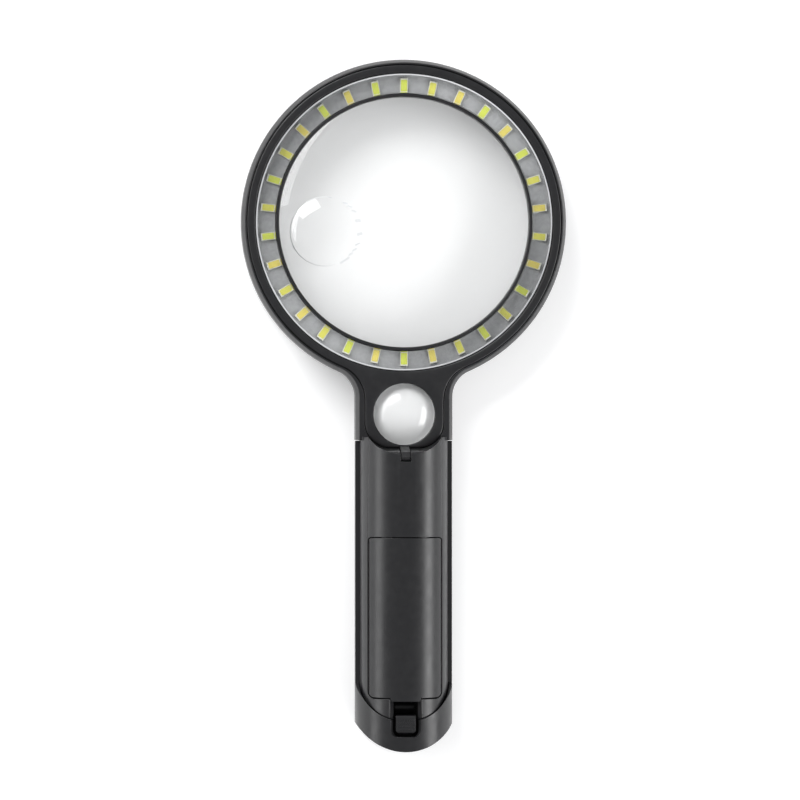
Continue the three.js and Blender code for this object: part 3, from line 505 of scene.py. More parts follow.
def front_bezel():
    outside = loft(
        [(EDGE * (1 - math.sin(a)), head(EDGE * (1 - math.cos(a)))) for a in quarter(8)]
        + [(PARTING - 0.25, head(0)), (PARTING, head(0.25))]
    )
    hollow = plate(head(WALL, JOINT - 1), WALL, PARTING + 1)
    seat = turned(
        [
            (APERTURE, 0.9),
            (LENS_POCKET + TUBE_WALL, 0.9),
            (LENS_POCKET + TUBE_WALL, LENS_EDGE_TOP),
            (LENS_POCKET, LENS_EDGE_TOP),
            (LENS_POCKET, 5.4),
            (APERTURE, 5.4),
        ],
        ring=True,
    )
    opening = turned([(0, -1), (52.2, -1), (APERTURE, 1.6), (APERTURE, HEAD_TOP), (0, HEAD_TOP)])
    shell = joined(cut(outside, hollow), seat, cylinder(NECK_LENS, 0, 9.7, 0, NECK_Y, 96))
    holes = []
    for side in (-1, 1):
        boss = common(
            cylinder(2.2, WALL / 2, 7.8, side * BEZEL_SCREW[0], BEZEL_SCREW[1], 32),
            plate(head(WALL + GAP), 0, HEAD_TOP),
        )
        shell = joined(shell, boss)
        holes.append(cylinder(SCREW_HOLE, WALL, HEAD_TOP, side * BEZEL_SCREW[0], BEZEL_SCREW[1], 32))
    well = turned(
        [(0, -1), (12.6, -1), (12.6, 0), (11.9, 0.7), (11.9, HEAD_TOP), (0, HEAD_TOP)], 0, NECK_Y, 96
    )
    return cut(shell, opening, well, *holes)


def quarter(steps):
    """Angles from upright to level, for a rounded edge."""
    return [math.pi / 2 * (1 - i / steps) for i in range(steps + 1)]


def rear_cover():
    corner = SCOOP_CORNER - GAP
    levels = [(COVER_LOW, 0.0), (HEAD_TOP - 0.4, 0.0), (HEAD_TOP - 0.22, 0.05)]
    levels += [(HEAD_TOP - 0.09, 0.17), (HEAD_TOP, 0.38)]
    outside = loft(
        [(z, cover_outline(-inset, COVER_END + inset, corner - inset)) for z, inset in levels]
    )
    inner = [(0, COVER_LOW - 1), (COVER_IN, COVER_LOW - 1), (COVER_IN, HEAD_TOP - 0.4)]
    inner += [(COVER_IN + 0.1, HEAD_TOP - 0.16), (COVER_IN + 0.38, HEAD_TOP)]
    inner += [(COVER_IN + 0.38, HEAD_TOP + 1), (0, HEAD_TOP + 1)]
    sight = SIGHT + 0.15
    eye = [(0, COVER_LOW - 1), (sight, COVER_LOW - 1), (sight, HEAD_TOP - 0.4)]
    eye += [(sight + 0.1, HEAD_TOP - 0.16), (sight + 0.38, HEAD_TOP)]
    eye += [(sight + 0.38, HEAD_TOP + 1), (0, HEAD_TOP + 1)]
    lift = GRIP_TOP - HEAD_TOP
    strap = side_section(
        [
            (COVER_END - GAP, COVER_LOW),
            (COVER_END + 0.6, COVER_LOW),
            (COVER_END + 0.6, HEAD_TOP),
            (SCOOP_Y - 0.9 * SCOOP_RUN + 1.2, HEAD_TOP + 0.9 * lift),
            (SCOOP_Y - SCOOP_RUN - 0.5, GRIP_TOP - 0.4),
            (SCOOP_Y - SCOOP_RUN - 1.8, GRIP_TOP - 1),
            (SCOOP_Y - SCOOP_RUN - 0.6, HEAD_TOP + 0.8 * lift),
        ],
        -1.75,
        1.75,
    )
    return cut(joined(outside, strap), turned(inner), turned(eye, 0, NECK_Y, 96))


def handle_cover():
    tray = section(tray_outline(HALF, 0, SIDE_TOP, TRAY_EDGE), CAP_START - 1, JOINT - GAP)
    whole = joined(tray, tail_cap(0))
    outside = common(whole, plate(tail_outline(0, JOINT), -1, GRIP_TOP + 1))
    room_outline = tray_outline(HALF - WALL, WALL, SIDE_TOP + 1, TRAY_EDGE - WALL)
    whole_room = joined(section(room_outline, CAP_START - 1, JOINT), tail_cap(WALL))
    room = common(whole_room, plate(tail_outline(WALL, JOINT + 1), 0, GRIP_TOP + 1))
    horns = [(CAP_START + 1, SIDE_TOP), (CAP_START + 1, GRIP_TOP), (CAP_START - 12, GRIP_TOP)]
    horns += [(CAP_START - 8, SIDE_TOP + 11), (CAP_START - 3, SIDE_TOP + 5), (CAP_START, SIDE_TOP)]
    dish = (-5.1, 5.1, SWITCH_Y - 6.1, SWITCH_Y + 12.1)
    block = box(dish[0] - 2, dish[1] + 2, dish[2] - 2, dish[3] + 2, 1, 3.5)
    shell = joined(cut(outside, room), block)
    holes = [
        plate(shell_outline(GAP), SIDE_TOP, GRIP_TOP + 2),
        side_section(horns, ARCH_HALF - 2, HALF + 1),
        side_section(horns, -HALF - 1, 2 - ARCH_HALF),
        cylinder(NECK_LENS + GAP, -1, SIDE_TOP, 0, NECK_Y, 96),
        box(*dish, -1, 1.7),
        box(-1.8, 1.8, SWITCH_Y - 2.3, SWITCH_Y + 8.3, -1, SIDE_TOP),
        recess(SHELF_TOP),
    ]
    for side in (-1, 1):
        x, y = side * HANDLE_SCREW[0], HANDLE_SCREW[1]
        boss = cylinder(HANDLE_BOSS, 1, SHELF_LOW - GAP, x, y, 32)
        post = cylinder(1.6, 1, 8.2, side * 7.6, SWITCH_Y + 7.3, 24)
        shell = joined(shell, boss, post)
        holes.append(cylinder(SCREW_HOLE, 4, GRIP_TOP, side * HANDLE_SCREW[0], HANDLE_SCREW[1], 32))
    return cut(shell, *holes)


def battery_door():
    shell = cut(arch(0, DOOR_END - 2, DOOR_TOP + 1), arch(WALL, DOOR_END - 3, DOOR_TOP + 2, 1))
    reach = DOOR_TOP - DOOR_END
    swing = cylinder(reach, -21, 21, sides=360)
    turn_mesh(swing, Matrix.Rotation(math.pi / 2, 4, "Y"))
    turn_mesh(swing, Matrix.Translation((0, DOOR_TOP, GRIP_TOP)))
    panel = common(shell, plate(door_outline(0), SIDE_TOP, GRIP_TOP + 1), swing)
    uncut = cut(arch(0, DOOR_END - 2, DOOR_TOP + 1), arch(WALL, DOOR_END - 3, DOOR_TOP + 2, 1))
    tongue = common(
        uncut, box(-TONGUE_HALF, TONGUE_HALF, TONGUE_END, DOOR_END + 3, SIDE_TOP, GRIP_TOP + 1)
    )
    outer = (TONGUE_END + LATCH_LEG - LATCH_Y) / 2
    middle = LATCH_Y + outer
    fold = side_section(
        [(TONGUE_END + LATCH_LEG, GRIP_TOP - 1), (TONGUE_END, GRIP_TOP - 1)]
        + arc(middle, FOLD_Z, outer - LATCH_LEG, 0, -math.pi, 24)
        + arc(middle, FOLD_Z, outer, -math.pi, 0, 24),
        -LATCH_HALF,
        LATCH_HALF,
    )
    door = joined(panel, tongue, fold)
    for side in (-1, 1):
        under = cut(
            joined(
                arch(WALL + GAP, DOOR_TOP - 2, DOOR_TOP + 2.3),
                arch(WALL - 0.5, DOOR_TOP - 2, DOOR_TOP - 0.4),
            ),
            arch(WALL + GAP + 1.2, DOOR_TOP - 3, DOOR_TOP + 3, 1),
        )
        reach_box = box(side * 7 - 2, side * 7 + 2, DOOR_TOP - 4, DOOR_TOP + 4, SIDE_TOP, GRIP_TOP)
        door = joined(door, common(under, reach_box))
    return door


def door_latch():
    top = GRIP_TOP - 1
    profile = [
        (LATCH_Y, FOLD_Z + GAP),
        (LATCH_Y + LATCH_LEG, FOLD_Z + GAP),
        (LATCH_Y + LATCH_LEG, top - 1.2),
        (TAB_TOP + 0.35, top - 0.35),
        (TAB_TOP - 0.1, top - 0.1),
        (TAB_END + 1, top - 0.1),
        (TAB_END + 0.3, top - 0.4),
        (TAB_END, top - 1),
        (TAB_END - 0.7, top - 2),
        (TAB_END - 0.5, top - 2.6),
        (LATCH_Y, top - 2.6),
    ]
    latch = side_section(profile, -LATCH_HALF, LATCH_HALF)
    corner = 1.7
    for side in (-1, 1):
        edge = side * LATCH_HALF
        clip = [
            (edge, TAB_END - 0.7 + corner),
            (edge + side, TAB_END - 0.7 + corner),
            (edge + side, TAB_END - 2),
            (edge - side * corner, TAB_END - 2),
            (edge - side * corner, TAB_END - 0.7),
        ]
        latch = cut(latch, plate(clip[::side], FOLD_Z, GRIP_TOP))
    for step in range(4):
        y = TAB_TOP - 1.3 - 1.25 * step
        reach = LATCH_HALF - 0.5 if step < 3 else LATCH_HALF - 1.3
        ridge = side_section(
            [(y - 0.42, top - 0.3), (y + 0.42, top - 0.3), (y + 0.22, top), (y - 0.22, top)],
            -reach,
            reach,
        )
        latch = joined(latch, ridge)
    return latch


def switch_slider():
    half, length = 4.5, 5.5
    outline = []
    for x, y, start in ((1, -1, -0.5), (1, 1, 0), (-1, 1, 0.5), (-1, -1, 1)):
        start *= math.pi
        outline += arc(x * (half - 1), SWITCH_Y + y * (length - 1), 1, start, start + math.pi / 2, 8)
    slider = joined(plate(outline, 0.8, 1.4), box(-1.5, 1.5, SWITCH_Y - 2, SWITCH_Y + 2, 0.9, 6))
    for step in range(-3, 4):
        y = SWITCH_Y + 1.4 * step
        ridge = side_section(
            [(y - 0.45, 1), (y - 0.2, 0.4), (y + 0.2, 0.4), (y + 0.45, 1)], 0.7 - half, half - 0.7
        )
        slider = joined(slider, ridge)
    return slider


# ---- Optics and lamps -------------------------------------------------------------------------


def crown(radius, edge, rise, steps):
    curve = (radius**2 + rise**2) / (2 * abs(rise))
    points = []
    for i in range(steps + 1):
        r = radius * (steps - i) / steps
        drop = math.sqrt(curve**2 - r**2) - (curve - abs(rise))
        points.append((r, edge + math.copysign(drop, rise)))
    return points


def main_lens():
    sag = LENS_CURVE - math.sqrt(LENS_CURVE**2 - LENS_R**2)
    lower, upper = crown(LENS_R, LENS_EDGE_LOW, -sag, 24), crown(LENS_R, LENS_EDGE_TOP, sag, 24)
    body = turned(lower[::-1] + upper)
    offset = math.hypot(INSET_X, INSET_Y)
    face = LENS_EDGE_TOP + sag - (LENS_CURVE - math.sqrt(LENS_CURVE**2 - offset**2))
    drop = INSET_CURVE - math.sqrt(INSET_CURVE**2 - INSET_R**2)
    edge = face + INSET_RISE - drop
    profile = [(0, LENS_EDGE_TOP), (INSET_R + 0.15, LENS_EDGE_TOP), (INSET_R, edge - 0.2)]
    profile += [(INSET_R - 0.12, edge)]
    profile += crown(INSET_R - 0.3, edge + 0.1, drop - 0.1, 20)
    inset = turned(profile, INSET_X, INSET_Y, 128)
    return joined(body, inset)


def neck_lens():
    bottom, top = 10.0, 11.6
    profile = crown(NECK_LENS - 0.05, bottom, -1.5, 12)[::-1]
    profile += [(NECK_LENS - 0.05, top)] + crown(SIGHT, top, 5.6, 24)
    return turned(profile, 0, NECK_Y, 128)


def retainer():
    profile = [(11.9, 11.9), (12.65, 11.9), (12.65, PLATE_TOP), (12.1, PLATE_TOP), (11.9, 14.0)]
    return turned(profile, 0, NECK_Y, 128, ring=True)


def led_window():
    profile = [(BOARD_IN, WINDOW_LOW), (WINDOW_OUT - 0.6, WINDOW_LOW), (WINDOW_OUT, WINDOW_LOW)]
    profile += [(WINDOW_OUT, WINDOW_TOP - 0.3), (WINDOW_OUT - 0.1, WINDOW_TOP - 0.08)]
    profile += [(WINDOW_OUT - 0.3, WINDOW_TOP), (WINDOW_OUT - 0.6, WINDOW_TOP)]
    profile += [(BOARD_IN + 0.25, WINDOW_TOP), (BOARD_IN, WINDOW_TOP - 0.25)]
    return turned(profile, ring=True)


def led_board():
    profile = [(BOARD_IN, BOARD_LOW), (BOARD_OUT, BOARD_LOW), (BOARD_OUT, BOARD_TOP), (BOARD_IN, BOARD_TOP)]
    return turned(profile, ring=True)


def lamp_package():
    """A white package with sloped sides, two tinned ends and a filled cup, long side along Y."""
    half, length, height = LAMP_HALF_WIDTH, LAMP_HALF_LENGTH, LAMP_HEIGHT

    def rounded(grow, corner):
        x, y = half + grow - corner, length + grow - corner
        points = []
        for i, (sx, sy) in enumerate(((1, 1), (-1, 1), (-1, -1), (1, -1))):
            points += arc(sx * x, sy * y, corner, i * math.pi / 2, (i + 1) * math.pi / 2, 4)
        return points

    def cup(grow):
        return [(x, y * 0.9 - 0.14) for x, y in rounded(grow, 0.45)]

    body = loft(
        [
            (0, rounded(0, 0.1)),
            (0.3, rounded(0, 0.1)),
            (height - 0.08, rounded(-0.08, 0.12)),
            (height, rounded(-0.15, 0.12)),
        ]
    )
    body = cut(body, loft([(0.35, cup(-0.45)), (height + 0.05, cup(-0.18))]))
    fill = loft([(0.36, cup(-0.46)), (0.76, cup(-0.27)), (0.83, cup(-0.5)), (0.85, cup(-0.85))])
    pads = []
    for end in (-1, 1):
        y0, y1 = sorted((end * (length - 0.75), end * (length - 0.02)))
        pads.append(box(-half + 0.3, half - 0.3, y0, y1, -0.06, 0.04))
    return body, fill, pads


# ---- Battery bay and electronics --------------------------------------------------------------


def cell(x, z, direction):
    """A cell's steel can with its rolled shoulder and nipple, and its sleeve."""
    body = CELL_LENGTH - 0.8
    shoulder = 0.5 + GAP + 0.8
    start = PLATE_HEAD - shoulder if direction > 0 else PLATE_TAIL + shoulder
    place = Matrix.Translation((x, start, z)) @ Matrix.Rotation(-direction * math.pi / 2, 4, "X")
    can = [(0, -body), (CELL_R - 1, -body), (CELL_R - 0.3, 0.35 - body), (CELL_R - 0.3, -0.5)]
    can += [(CELL_R - 0.7, -0.15), (2.6, -0.1), (2.2, 0), (1.9, 0.1), (1.9, 0.6), (1.7, 0.8), (0, 0.8)]
    sleeve = [(CELL_R - 0.25, 0.3 - body), (CELL_R - 0.05, 0.15 - body), (CELL_R, 0.5 - body)]
    sleeve += [(CELL_R, -0.6), (CELL_R - 0.15, -0.3), (CELL_R - 0.6, -0.1), (CELL_R - 0.65, -0.3)]
    sleeve += [(CELL_R - 0.28, -0.7)]
    return (
        turn_mesh(turned(can, sides=64), place),
        turn_mesh(turned(sleeve, sides=64, ring=True), place),
    )


def coil_spring(x, y, z, direction):
    turns, reach = 3.0, 4.4
    points = []
    for i in range(181):
        share = i / 180
        angle = 2 * math.pi * turns * share
        radius = 3.4 - 1.3 * share
        rise = direction * reach * max(0.0, (share - 0.08) / 0.92)
        points.append((x + radius * math.cos(angle), y + rise, z + radius * math.sin(angle)))
    return tube(points, 0.3, 10)


def contact_plate(places, y, side):
    """Stamped plates behind the given cell places."""
    low, high = sorted((y, y - side * 0.4))
    sheets = []
    for x, z in places:
        outline = []
        for i, (sx, sz) in enumerate(((1, 1), (-1, 1), (-1, -1), (1, -1))):
            outline += arc(x + sx * 3.3, z + sz * 3.3, 0.6, i * math.pi / 2, (i + 1) * math.pi / 2, 6)
        sheets.append(section(outline, low, high))
    return sheets[0] if len(sheets) == 1 else joined(*sheets)


def button(x, y, z, side):
    made = turned([(0, -0.1), (1.6, -0.1), (1.6, 0.2), (1.3, 0.45), (0.9, 0.5), (0, 0.5)], sides=48)
    place = Matrix.Translation((x, y, z)) @ Matrix.Rotation(-side * math.pi / 2, 4, "X")
    return turn_mesh(made, place)


def screw(x, y, seat, shank):
    body = turned(
        [
            (0, seat - shank),
            (0.3, seat - shank),
            (0.85, seat - shank + 1),
            (0.85, seat),
            (1.85, seat),
            (1.9, seat + 0.1),
            (1.9, seat + 0.9),
            (1.6, seat + 1.35),
            (0.9, seat + 1.58),
            (0, seat + 1.6),
        ],
        x,
        y,
        48,
    )
    for i in range(1, 7):
        z = seat - shank + 0.9 * i
        if z < seat - 0.5:
            thread = [(0.5, z - 0.3), (0.89, z - 0.05), (0.89, z + 0.05), (0.5, z + 0.3)]
            body = joined(body, turned(thread, x, y, 48, ring=True))
    slots = [box(x - a, x + a, y - b, y + b, seat + 0.8, seat + 2) for a, b in ((1.1, 0.25), (0.25, 1.1))]
    return cut(body, *slots)


# ---- Materials --------------------------------------------------------------------------------


class Finish:
    """A material with one Principled shader and helpers for its detail."""

    def __init__(self, name, colour, roughness, metallic=0.0):
        self.material = bpy.data.materials.new(name)
        self.material.use_nodes = True
        self.nodes = self.material.node_tree.nodes
        self.shader = self.nodes["Principled BSDF"]
        self.output = self.nodes["Material Output"]
        self.shader.inputs["Base Color"].default_value = (*colour, 1)
        self.shader.inputs["Roughness"].default_value = roughness
        self.shader.inputs["Metallic"].default_value = metallic

    def link(self, source, target):
        self.material.node_tree.links.new(source, target)

    def noise(self, scale, detail=3.0, stretch=(1, 1, 1)):
        place = self.nodes.new("ShaderNodeTexCoord")
        sized = self.nodes.new("ShaderNodeMapping")
        sized.inputs["Scale"].default_value = stretch
        texture = self.nodes.new("ShaderNodeTexNoise")
        texture.inputs["Scale"].default_value = scale
        texture.inputs["Detail"].default_value = detail
        self.link(place.outputs["Object"], sized.inputs["Vector"])
        self.link(sized.outputs["Vector"], texture.inputs["Vector"])
        return texture.outputs["Fac"]

    def spread(self, value, low, high, start=0.3, end=0.7):
        ranged = self.nodes.new("ShaderNodeMapRange")
        for name, number in (("From Min", start), ("From Max", end), ("To Min", low), ("To Max", high)):
            ranged.inputs[name].default_value = number
        self.link(value, ranged.inputs["Value"])
        return ranged.outputs["Result"]

    def roughen(self, scale, low, high, stretch=(1, 1, 1)):
        self.link(self.spread(self.noise(scale, 4, stretch), low, high), self.shader.inputs["Roughness"])
        return self

    def tint(self, scale, first, second, start=0.3, end=0.7):
        mix = self.nodes.new("ShaderNodeMix")
        mix.data_type = "RGBA"
        mix.inputs[6].default_value = (*first, 1)
        mix.inputs[7].default_value = (*second, 1)
        self.link(self.spread(self.noise(scale, 4), 0, 1, start, end), mix.inputs[0])
        self.link(mix.outputs[2], self.shader.inputs["Base Color"])
        return self

    def grain(self, scale, distance, strength=1.0, stretch=(1, 1, 1)):
        bump = self.nodes.new("ShaderNodeBump")
        bump.inputs["Distance"].default_value = distance
        bump.inputs["Strength"].default_value = strength
        self.link(self.noise(scale, 2, stretch), bump.inputs["Height"])
        self.link(bump.outputs["Normal"], self.shader.inputs["Normal"])
        return self

    def glass(self, ior, passed):
        """Clear to what is behind it, and to the lamps, of whose light it lets a share through."""
        self.shader.inputs["Transmission Weight"].default_value = 1
        self.shader.inputs["IOR"].default_value = ior
        clear = self.nodes.new("ShaderNodeBsdfTransparent")
        clear.inputs["Color"].default_value = (passed, passed, passed, 1)
        path = self.nodes.new("ShaderNodeLightPath")
        mix = self.nodes.new("ShaderNodeMixShader")
        self.link(path.outputs["Is Shadow Ray"], mix.inputs[0])
        self.link(self.shader.outputs[0], mix.inputs[1])
        self.link(clear.outputs[0], mix.inputs[2])
        self.link(mix.outputs[0], self.output.inputs["Surface"])
        return self


satin = Finish("satin_black", (0.011, 0.011, 0.012), 0.34).roughen(260, 0.29, 0.38)
satin.tint(420, (0.0095, 0.0095, 0.0105), (0.0125, 0.0125, 0.0135)).grain(5200, 0.00003, 0.35)
inside = Finish("inside_black", (0.012, 0.012, 0.013), 0.5).roughen(300, 0.45, 0.6)
inside.tint(300, (0.01, 0.01, 0.011), (0.016, 0.016, 0.017)).grain(3600, 0.00004, 0.5)
acrylic = Finish("acrylic", (0.82, 0.825, 0.825), 0.0).glass(1.49, 0.86).roughen(120, 0.0, 0.012)
dome = Finish("dome_acrylic", (0.93, 0.935, 0.935), 0.05).glass(1.49, 0.97).roughen(140, 0.02, 0.08)
dome.shader.inputs["Transmission Weight"].default_value = 0.5
window = Finish("window_acrylic", (0.94, 0.945, 0.95), 0.03).glass(1.49, 0.96).roughen(600, 0.02, 0.08)
# Light grey frosted finish for ground edges; on the LED window's rim it is also a painted highlight,
# standing in for the bright ring there.
frosted_highlight = Finish("frosted_edge_highlight", (0.6, 0.61, 0.62), 0.4).roughen(900, 0.35, 0.5)
frosted_highlight.grain(5000, 0.00002, 0.4)
mask = Finish("solder_mask", (0.36, 0.365, 0.37), 0.5).roughen(900, 0.4, 0.6)
mask.tint(700, (0.33, 0.335, 0.34), (0.4, 0.405, 0.41)).grain(4000, 0.00002, 0.5)
package = Finish("lamp_package", (0.66, 0.66, 0.56), 0.35).roughen(2500, 0.3, 0.45)
package.grain(9000, 0.00001, 0.5)
phosphors = []
for number, (first, second) in enumerate(
    (
        ((0.62, 0.66, 0.10), (0.52, 0.60, 0.07)),
        ((0.66, 0.64, 0.12), (0.58, 0.56, 0.08)),
        ((0.70, 0.60, 0.14), (0.62, 0.52, 0.10)),
    )
):
    phosphor = Finish(f"phosphor_{number + 1}", first, 0.45).roughen(3000, 0.35, 0.55)
    phosphors.append(phosphor.tint(2600, first, second).grain(8000, 0.00002, 0.6))
tin = Finish("tinned", (0.62, 0.62, 0.61), 0.3, 1.0).roughen(1800, 0.2, 0.45)
tin.grain(2600, 0.00003, 0.5)
nickel = Finish("nickel", (0.66, 0.63, 0.58), 0.28, 1.0).roughen(900, 0.2, 0.4, (1, 1, 0.15))
nickel.grain(3000, 0.00002, 0.4, (1, 1, 0.15))
steel = Finish("screw_steel", (0.4, 0.4, 0.41), 0.35, 1.0).roughen(1500, 0.25, 0.5)
steel.grain(5000, 0.00002, 0.4)
sleeve_finish = Finish("cell_sleeve", (0.03, 0.06, 0.11), 0.3).roughen(200, 0.22, 0.36)
sleeve_finish.tint(160, (0.025, 0.05, 0.1), (0.04, 0.07, 0.12)).grain(1400, 0.00004, 0.3, (1, 0.1, 1))
circuit = Finish("circuit_green", (0.02, 0.12, 0.045), 0.4).roughen(700, 0.3, 0.5)
circuit.tint(1200, (0.015, 0.1, 0.04), (0.03, 0.16, 0.06), 0.46, 0.54).grain(2600, 0.00004, 0.5)
insulation = {}
for colour_name, colour in (("red", (0.42, 0.02, 0.015)), ("black", (0.015, 0.015, 0.016))):
    lead = Finish(f"insulation_{colour_name}", colour, 0.45).roughen(600, 0.38, 0.55)
    insulation[colour_name] = lead.grain(2400, 0.00004, 0.5)

# ---- Assembly ---------------------------------------------------------------------------------


def settle(made, name, finishes, body, nodes=(), bevel=0.0, angle=32.0, weld=0.0005):
    """Cleans a solid, moves it into the frame, and ties it to its body, slot and CAD nodes."""
    mesh = made.data
    form = bmesh.new()
    form.from_mesh(mesh)
    bmesh.ops.remove_doubles(form, verts=form.verts, dist=weld)
    bmesh.ops.triangulate(form, faces=[face for face in form.faces if len(face.verts) > 4])
    for face in form.faces:
        face.smooth = True
    for edge in form.edges:
        if len(edge.link_faces) != 2 or edge.calc_face_angle(0) > math.radians(angle):
            edge.smooth = False
    form.to_mesh(mesh)
    form.free()
    mesh.transform(Matrix.Translation((HEAD.x, HEAD.y, 0)) @ Matrix.Scale(MM, 4))
    mesh.materials.clear()
    for finish in finishes:
        mesh.materials.append(finish.material)
    made.name = name
    mesh.name = name
    if bevel:
        soft = made.modifiers.new("bevel", "BEVEL")
        soft.width = bevel * MM
        soft.segments = 2
        soft.limit_method = "ANGLE"
        soft.angle_limit = math.radians(angle)
        soft.use_clamp_overlap = False
        soft.harden_normals = True
    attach(made, body)
    if nodes:
        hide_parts(*nodes)
    return made


def black_shell(make, name, body="magnifier", bevel=0.16, weld=0.0005):
    return settle(make(), name + "_form", [satin], body, [name], bevel, weld=weld)


black_shell(main_housing, "main_housing")
black_shell(front_bezel, "front_bezel")
black_shell(rear_cover, "rear_cover", bevel=0)
# Rim points closer together than the bevel is wide would fold it, so they are merged.
COVER_WELD = 0.17
black_shell(handle_cover, "handle_cover", weld=COVER_WELD)
black_shell(battery_door, "battery_door", "door")
black_shell(door_latch, "door_latch", "latch", 0.1)
black_shell(switch_slider, "switch_slider", "slider", 0.1)
black_shell(retainer, "neck_lens_retainer")

# The inset's side wall is ground, so it takes the frosted finish.
lens_finishes = [acrylic, frosted_highlight]
lens = settle(main_lens(), "main_lens_form", lens_finishes, "magnifier", ["main_lens"])
for face in lens.data.polygons:
    place = Vector(face.center) / MM - HEAD / MM
    from_inset = math.hypot(place.x - INSET_X, place.y - INSET_Y)
    if abs(from_inset - INSET_R) < 0.2 and face.center.z > LENS_EDGE_TOP * MM:
        face.material_index = 1
settle(neck_lens(), "neck_lens_form", [dome], "magnifier", ["neck_lens"])
# The window's outer rim takes the frosted finish, whose light grey is partly a painted highlight for the
# bright edge ring.
pane_finishes = [window, frosted_highlight]
pane = settle(led_window(), "led_window_form", pane_finishes, "magnifier", ["led_window"])
for face in pane.data.polygons:
    middle = Vector(face.center[:2]) - HEAD.xy
    if middle.length > (WINDOW_OUT - 0.5) * MM:
        face.material_index = 1
settle(led_board(), "led_board_form", [mask], "magnifier", ["led_board"])

for i in range(LAMPS):
    turn = 2 * math.pi * i / LAMPS
    radius = BOARD_IN + LAMP_INSET + LAMP_HALF_LENGTH
    centre = (radius * math.sin(turn), radius * math.cos(turn), BOARD_TOP + 0.1)
    place = Matrix.Translation(centre) @ Matrix.Rotation(-turn, 4, "Z")
    body, fill, pads = lamp_package()
    node = f"led_{i + 1:02d}"
    turn_mesh(body, place)
    settle(body, f"{node}_package", [package], "magnifier", [node])
    turn_mesh(fill, place)
    tinted = phosphors[(i * 7 + i // 4) % len(phosphors)]
    settle(fill, f"{node}_phosphor", [tinted], "magnifier")
    for end, pad in zip("ab", pads):
        turn_mesh(pad, place)
        settle(pad, f"{node}_solder_{end}", [tin], "magnifier", bevel=0.02)

for i, (x, z, direction) in enumerate(((-CELL_X, CELL_LOW, 1), (CELL_X, CELL_LOW, -1), (0, CELL_HIGH, 1))):
    can, sleeve = cell(x, z, direction)
    node = f"battery_cell_{i + 1}"
    settle(can, f"{node}_can", [nickel], "magnifier", [node])
    settle(sleeve, f"{node}_sleeve", [sleeve_finish], "magnifier")

contacts = {
    "contact_positive_terminal": (PLATE_HEAD, -1, [(-CELL_X, CELL_LOW)], (-CELL_X, CELL_LOW), None),
    "contact_bridge_upper": (
        PLATE_HEAD,
        -1,
        [(CELL_X, CELL_LOW), (CELL_X / 2, (CELL_LOW + CELL_HIGH) / 2), (0, CELL_HIGH)],
        (0, CELL_HIGH),
        (CELL_X, CELL_LOW),
    ),
    "contact_bridge_lower": (
        PLATE_TAIL,
        1,
        [(-CELL_X, CELL_LOW), (0, CELL_LOW), (CELL_X, CELL_LOW)],
        (CELL_X, CELL_LOW),
        (-CELL_X, CELL_LOW),
    ),
    "contact_negative_terminal": (PLATE_TAIL, 1, [(0, CELL_HIGH)], None, (0, CELL_HIGH)),
}
for name, (y, side, places, raised, sprung) in contacts.items():
    made = contact_plate(places, y, side)
    if raised:
        made = joined(made, button(raised[0], y, raised[1], side))
    settle(made, name + "_plate", [nickel], "magnifier", [name])
    if sprung:
        spring = coil_spring(sprung[0], y + side * 0.3, sprung[1], side)
        settle(spring, name + "_spring", [nickel], "magnifier", angle=60)

for i, side in enumerate((-1, 1)):
    name = f"handle_screw_{i + 1}"
    made = screw(side * HANDLE_SCREW[0], HANDLE_SCREW[1], SHELF_TOP + GAP, 7)
    settle(made, name + "_form", [steel], "magnifier", [name])
    name = f"bezel_screw_{i + 1}"
    made = screw(side * BEZEL_SCREW[0], BEZEL_SCREW[1], 11.0, 6)
    settle(made, name + "_form", [steel], "magnifier", [name])

carried = {
    "battery_tray": inside,
    "control_board": circuit,
    "switch_body": tin,
    "wire_battery_positive": insulation["red"],
    "led_lead_positive": insulation["red"],
    "wire_battery_negative": insulation["black"],
    "led_lead_negative": insulation["black"],
}
for name, finish in carried.items():
    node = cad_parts[name]
    node.data.materials.clear()
    node.data.materials.append(finish.material)
    rounding = node.modifiers.new("bevel", "BEVEL")
    rounding.width = 0.12 * MM
    rounding.segments = 2
    rounding.limit_method = "ANGLE"
    rounding.angle_limit = math.radians(40)

# ---- Floor, lights and camera -----------------------------------------------------------------

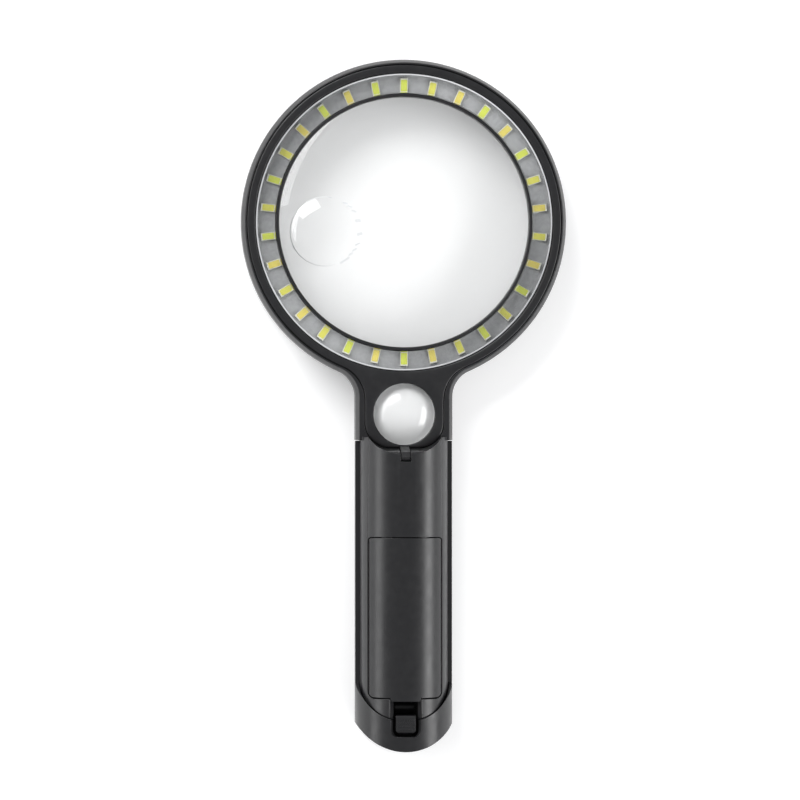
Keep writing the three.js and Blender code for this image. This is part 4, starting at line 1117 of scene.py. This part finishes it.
FLOOR_HALF = 2.2
FLOOR_Z = -0.0004
floor_corners = [
    (x * FLOOR_HALF, y * FLOOR_HALF, FLOOR_Z) for x, y in ((-1, -1), (1, -1), (1, 1), (-1, 1))
]
floor_mesh = bpy.data.meshes.new("floor")
floor_mesh.from_pydata(floor_corners, [], [(0, 1, 2, 3)])
floor = bpy.data.objects.new("floor", floor_mesh)
scene.collection.objects.link(floor)
paper = Finish("paper", (0.93, 0.93, 0.93), 0.9).roughen(60, 0.85, 0.95)
paper.shader.inputs["Specular IOR Level"].default_value = 0.0
paper.shader.inputs["Emission Color"].default_value = (1, 1, 1, 1)
paper.shader.inputs["Emission Strength"].default_value = 0.18
floor_mesh.materials.append(paper.material)

world = bpy.data.worlds.new("studio")
world.use_nodes = True
world.node_tree.nodes["Background"].inputs["Color"].default_value = (0.97, 0.98, 1.0, 1)
world.node_tree.nodes["Background"].inputs["Strength"].default_value = 0.37
scene.world = world


def softbox(name, azimuth, elevation, distance, width, height, power, mirrored=True, refracted=True):
    """A flat area light facing the middle of the object; it shows in gloss and through glass, or not."""
    data = bpy.data.lights.new(name, "AREA")
    data.shape = "RECTANGLE"
    data.size = width
    data.size_y = height
    data.energy = power
    lamp = bpy.data.objects.new(name, data)
    level = math.cos(math.radians(elevation))
    way = Vector(
        (
            level * math.cos(math.radians(azimuth)),
            level * math.sin(math.radians(azimuth)),
            math.sin(math.radians(elevation)),
        )
    )
    lamp.location = way * distance
    lamp.rotation_euler = (-way).to_track_quat("-Z", "Y").to_euler()
    lamp.visible_glossy = mirrored
    lamp.visible_transmission = refracted
    scene.collection.objects.link(lamp)


softbox("left_light", 158, 23, 1.3, 2.2, 0.46, 13.5)
softbox("right_light", -20, 27, 1.3, 1.8, 0.42, 17)
softbox("head_light", 122, 36, 1.4, 0.9, 0.5, 9, refracted=False)
softbox("head_fill", 125, 26, 1.4, 1.2, 1.1, 9, mirrored=False, refracted=False)
softbox("foot_fill", -55, 26, 1.4, 1.2, 1.1, 6, mirrored=False, refracted=False)

camera_data = bpy.data.cameras.new("camera")
camera_data.lens = 277.6
camera_data.sensor_width = 36
camera = bpy.data.objects.new("camera", camera_data)
CAMERA_DISTANCE = 2.4
aim = Vector((-0.0014, 0.0019, 0.01))
camera.location = aim + CAMERA_DISTANCE * Vector((-0.055, 0, 0.9985))
back = (camera.location - aim).normalized()
across = Vector((0, 1, 0)).cross(back).normalized()
up = back.cross(across)
camera.rotation_euler = Matrix((across, up, back)).transposed().to_euler()
scene.collection.objects.link(camera)
scene.camera = camera
scene.view_settings.view_transform = "Standard"
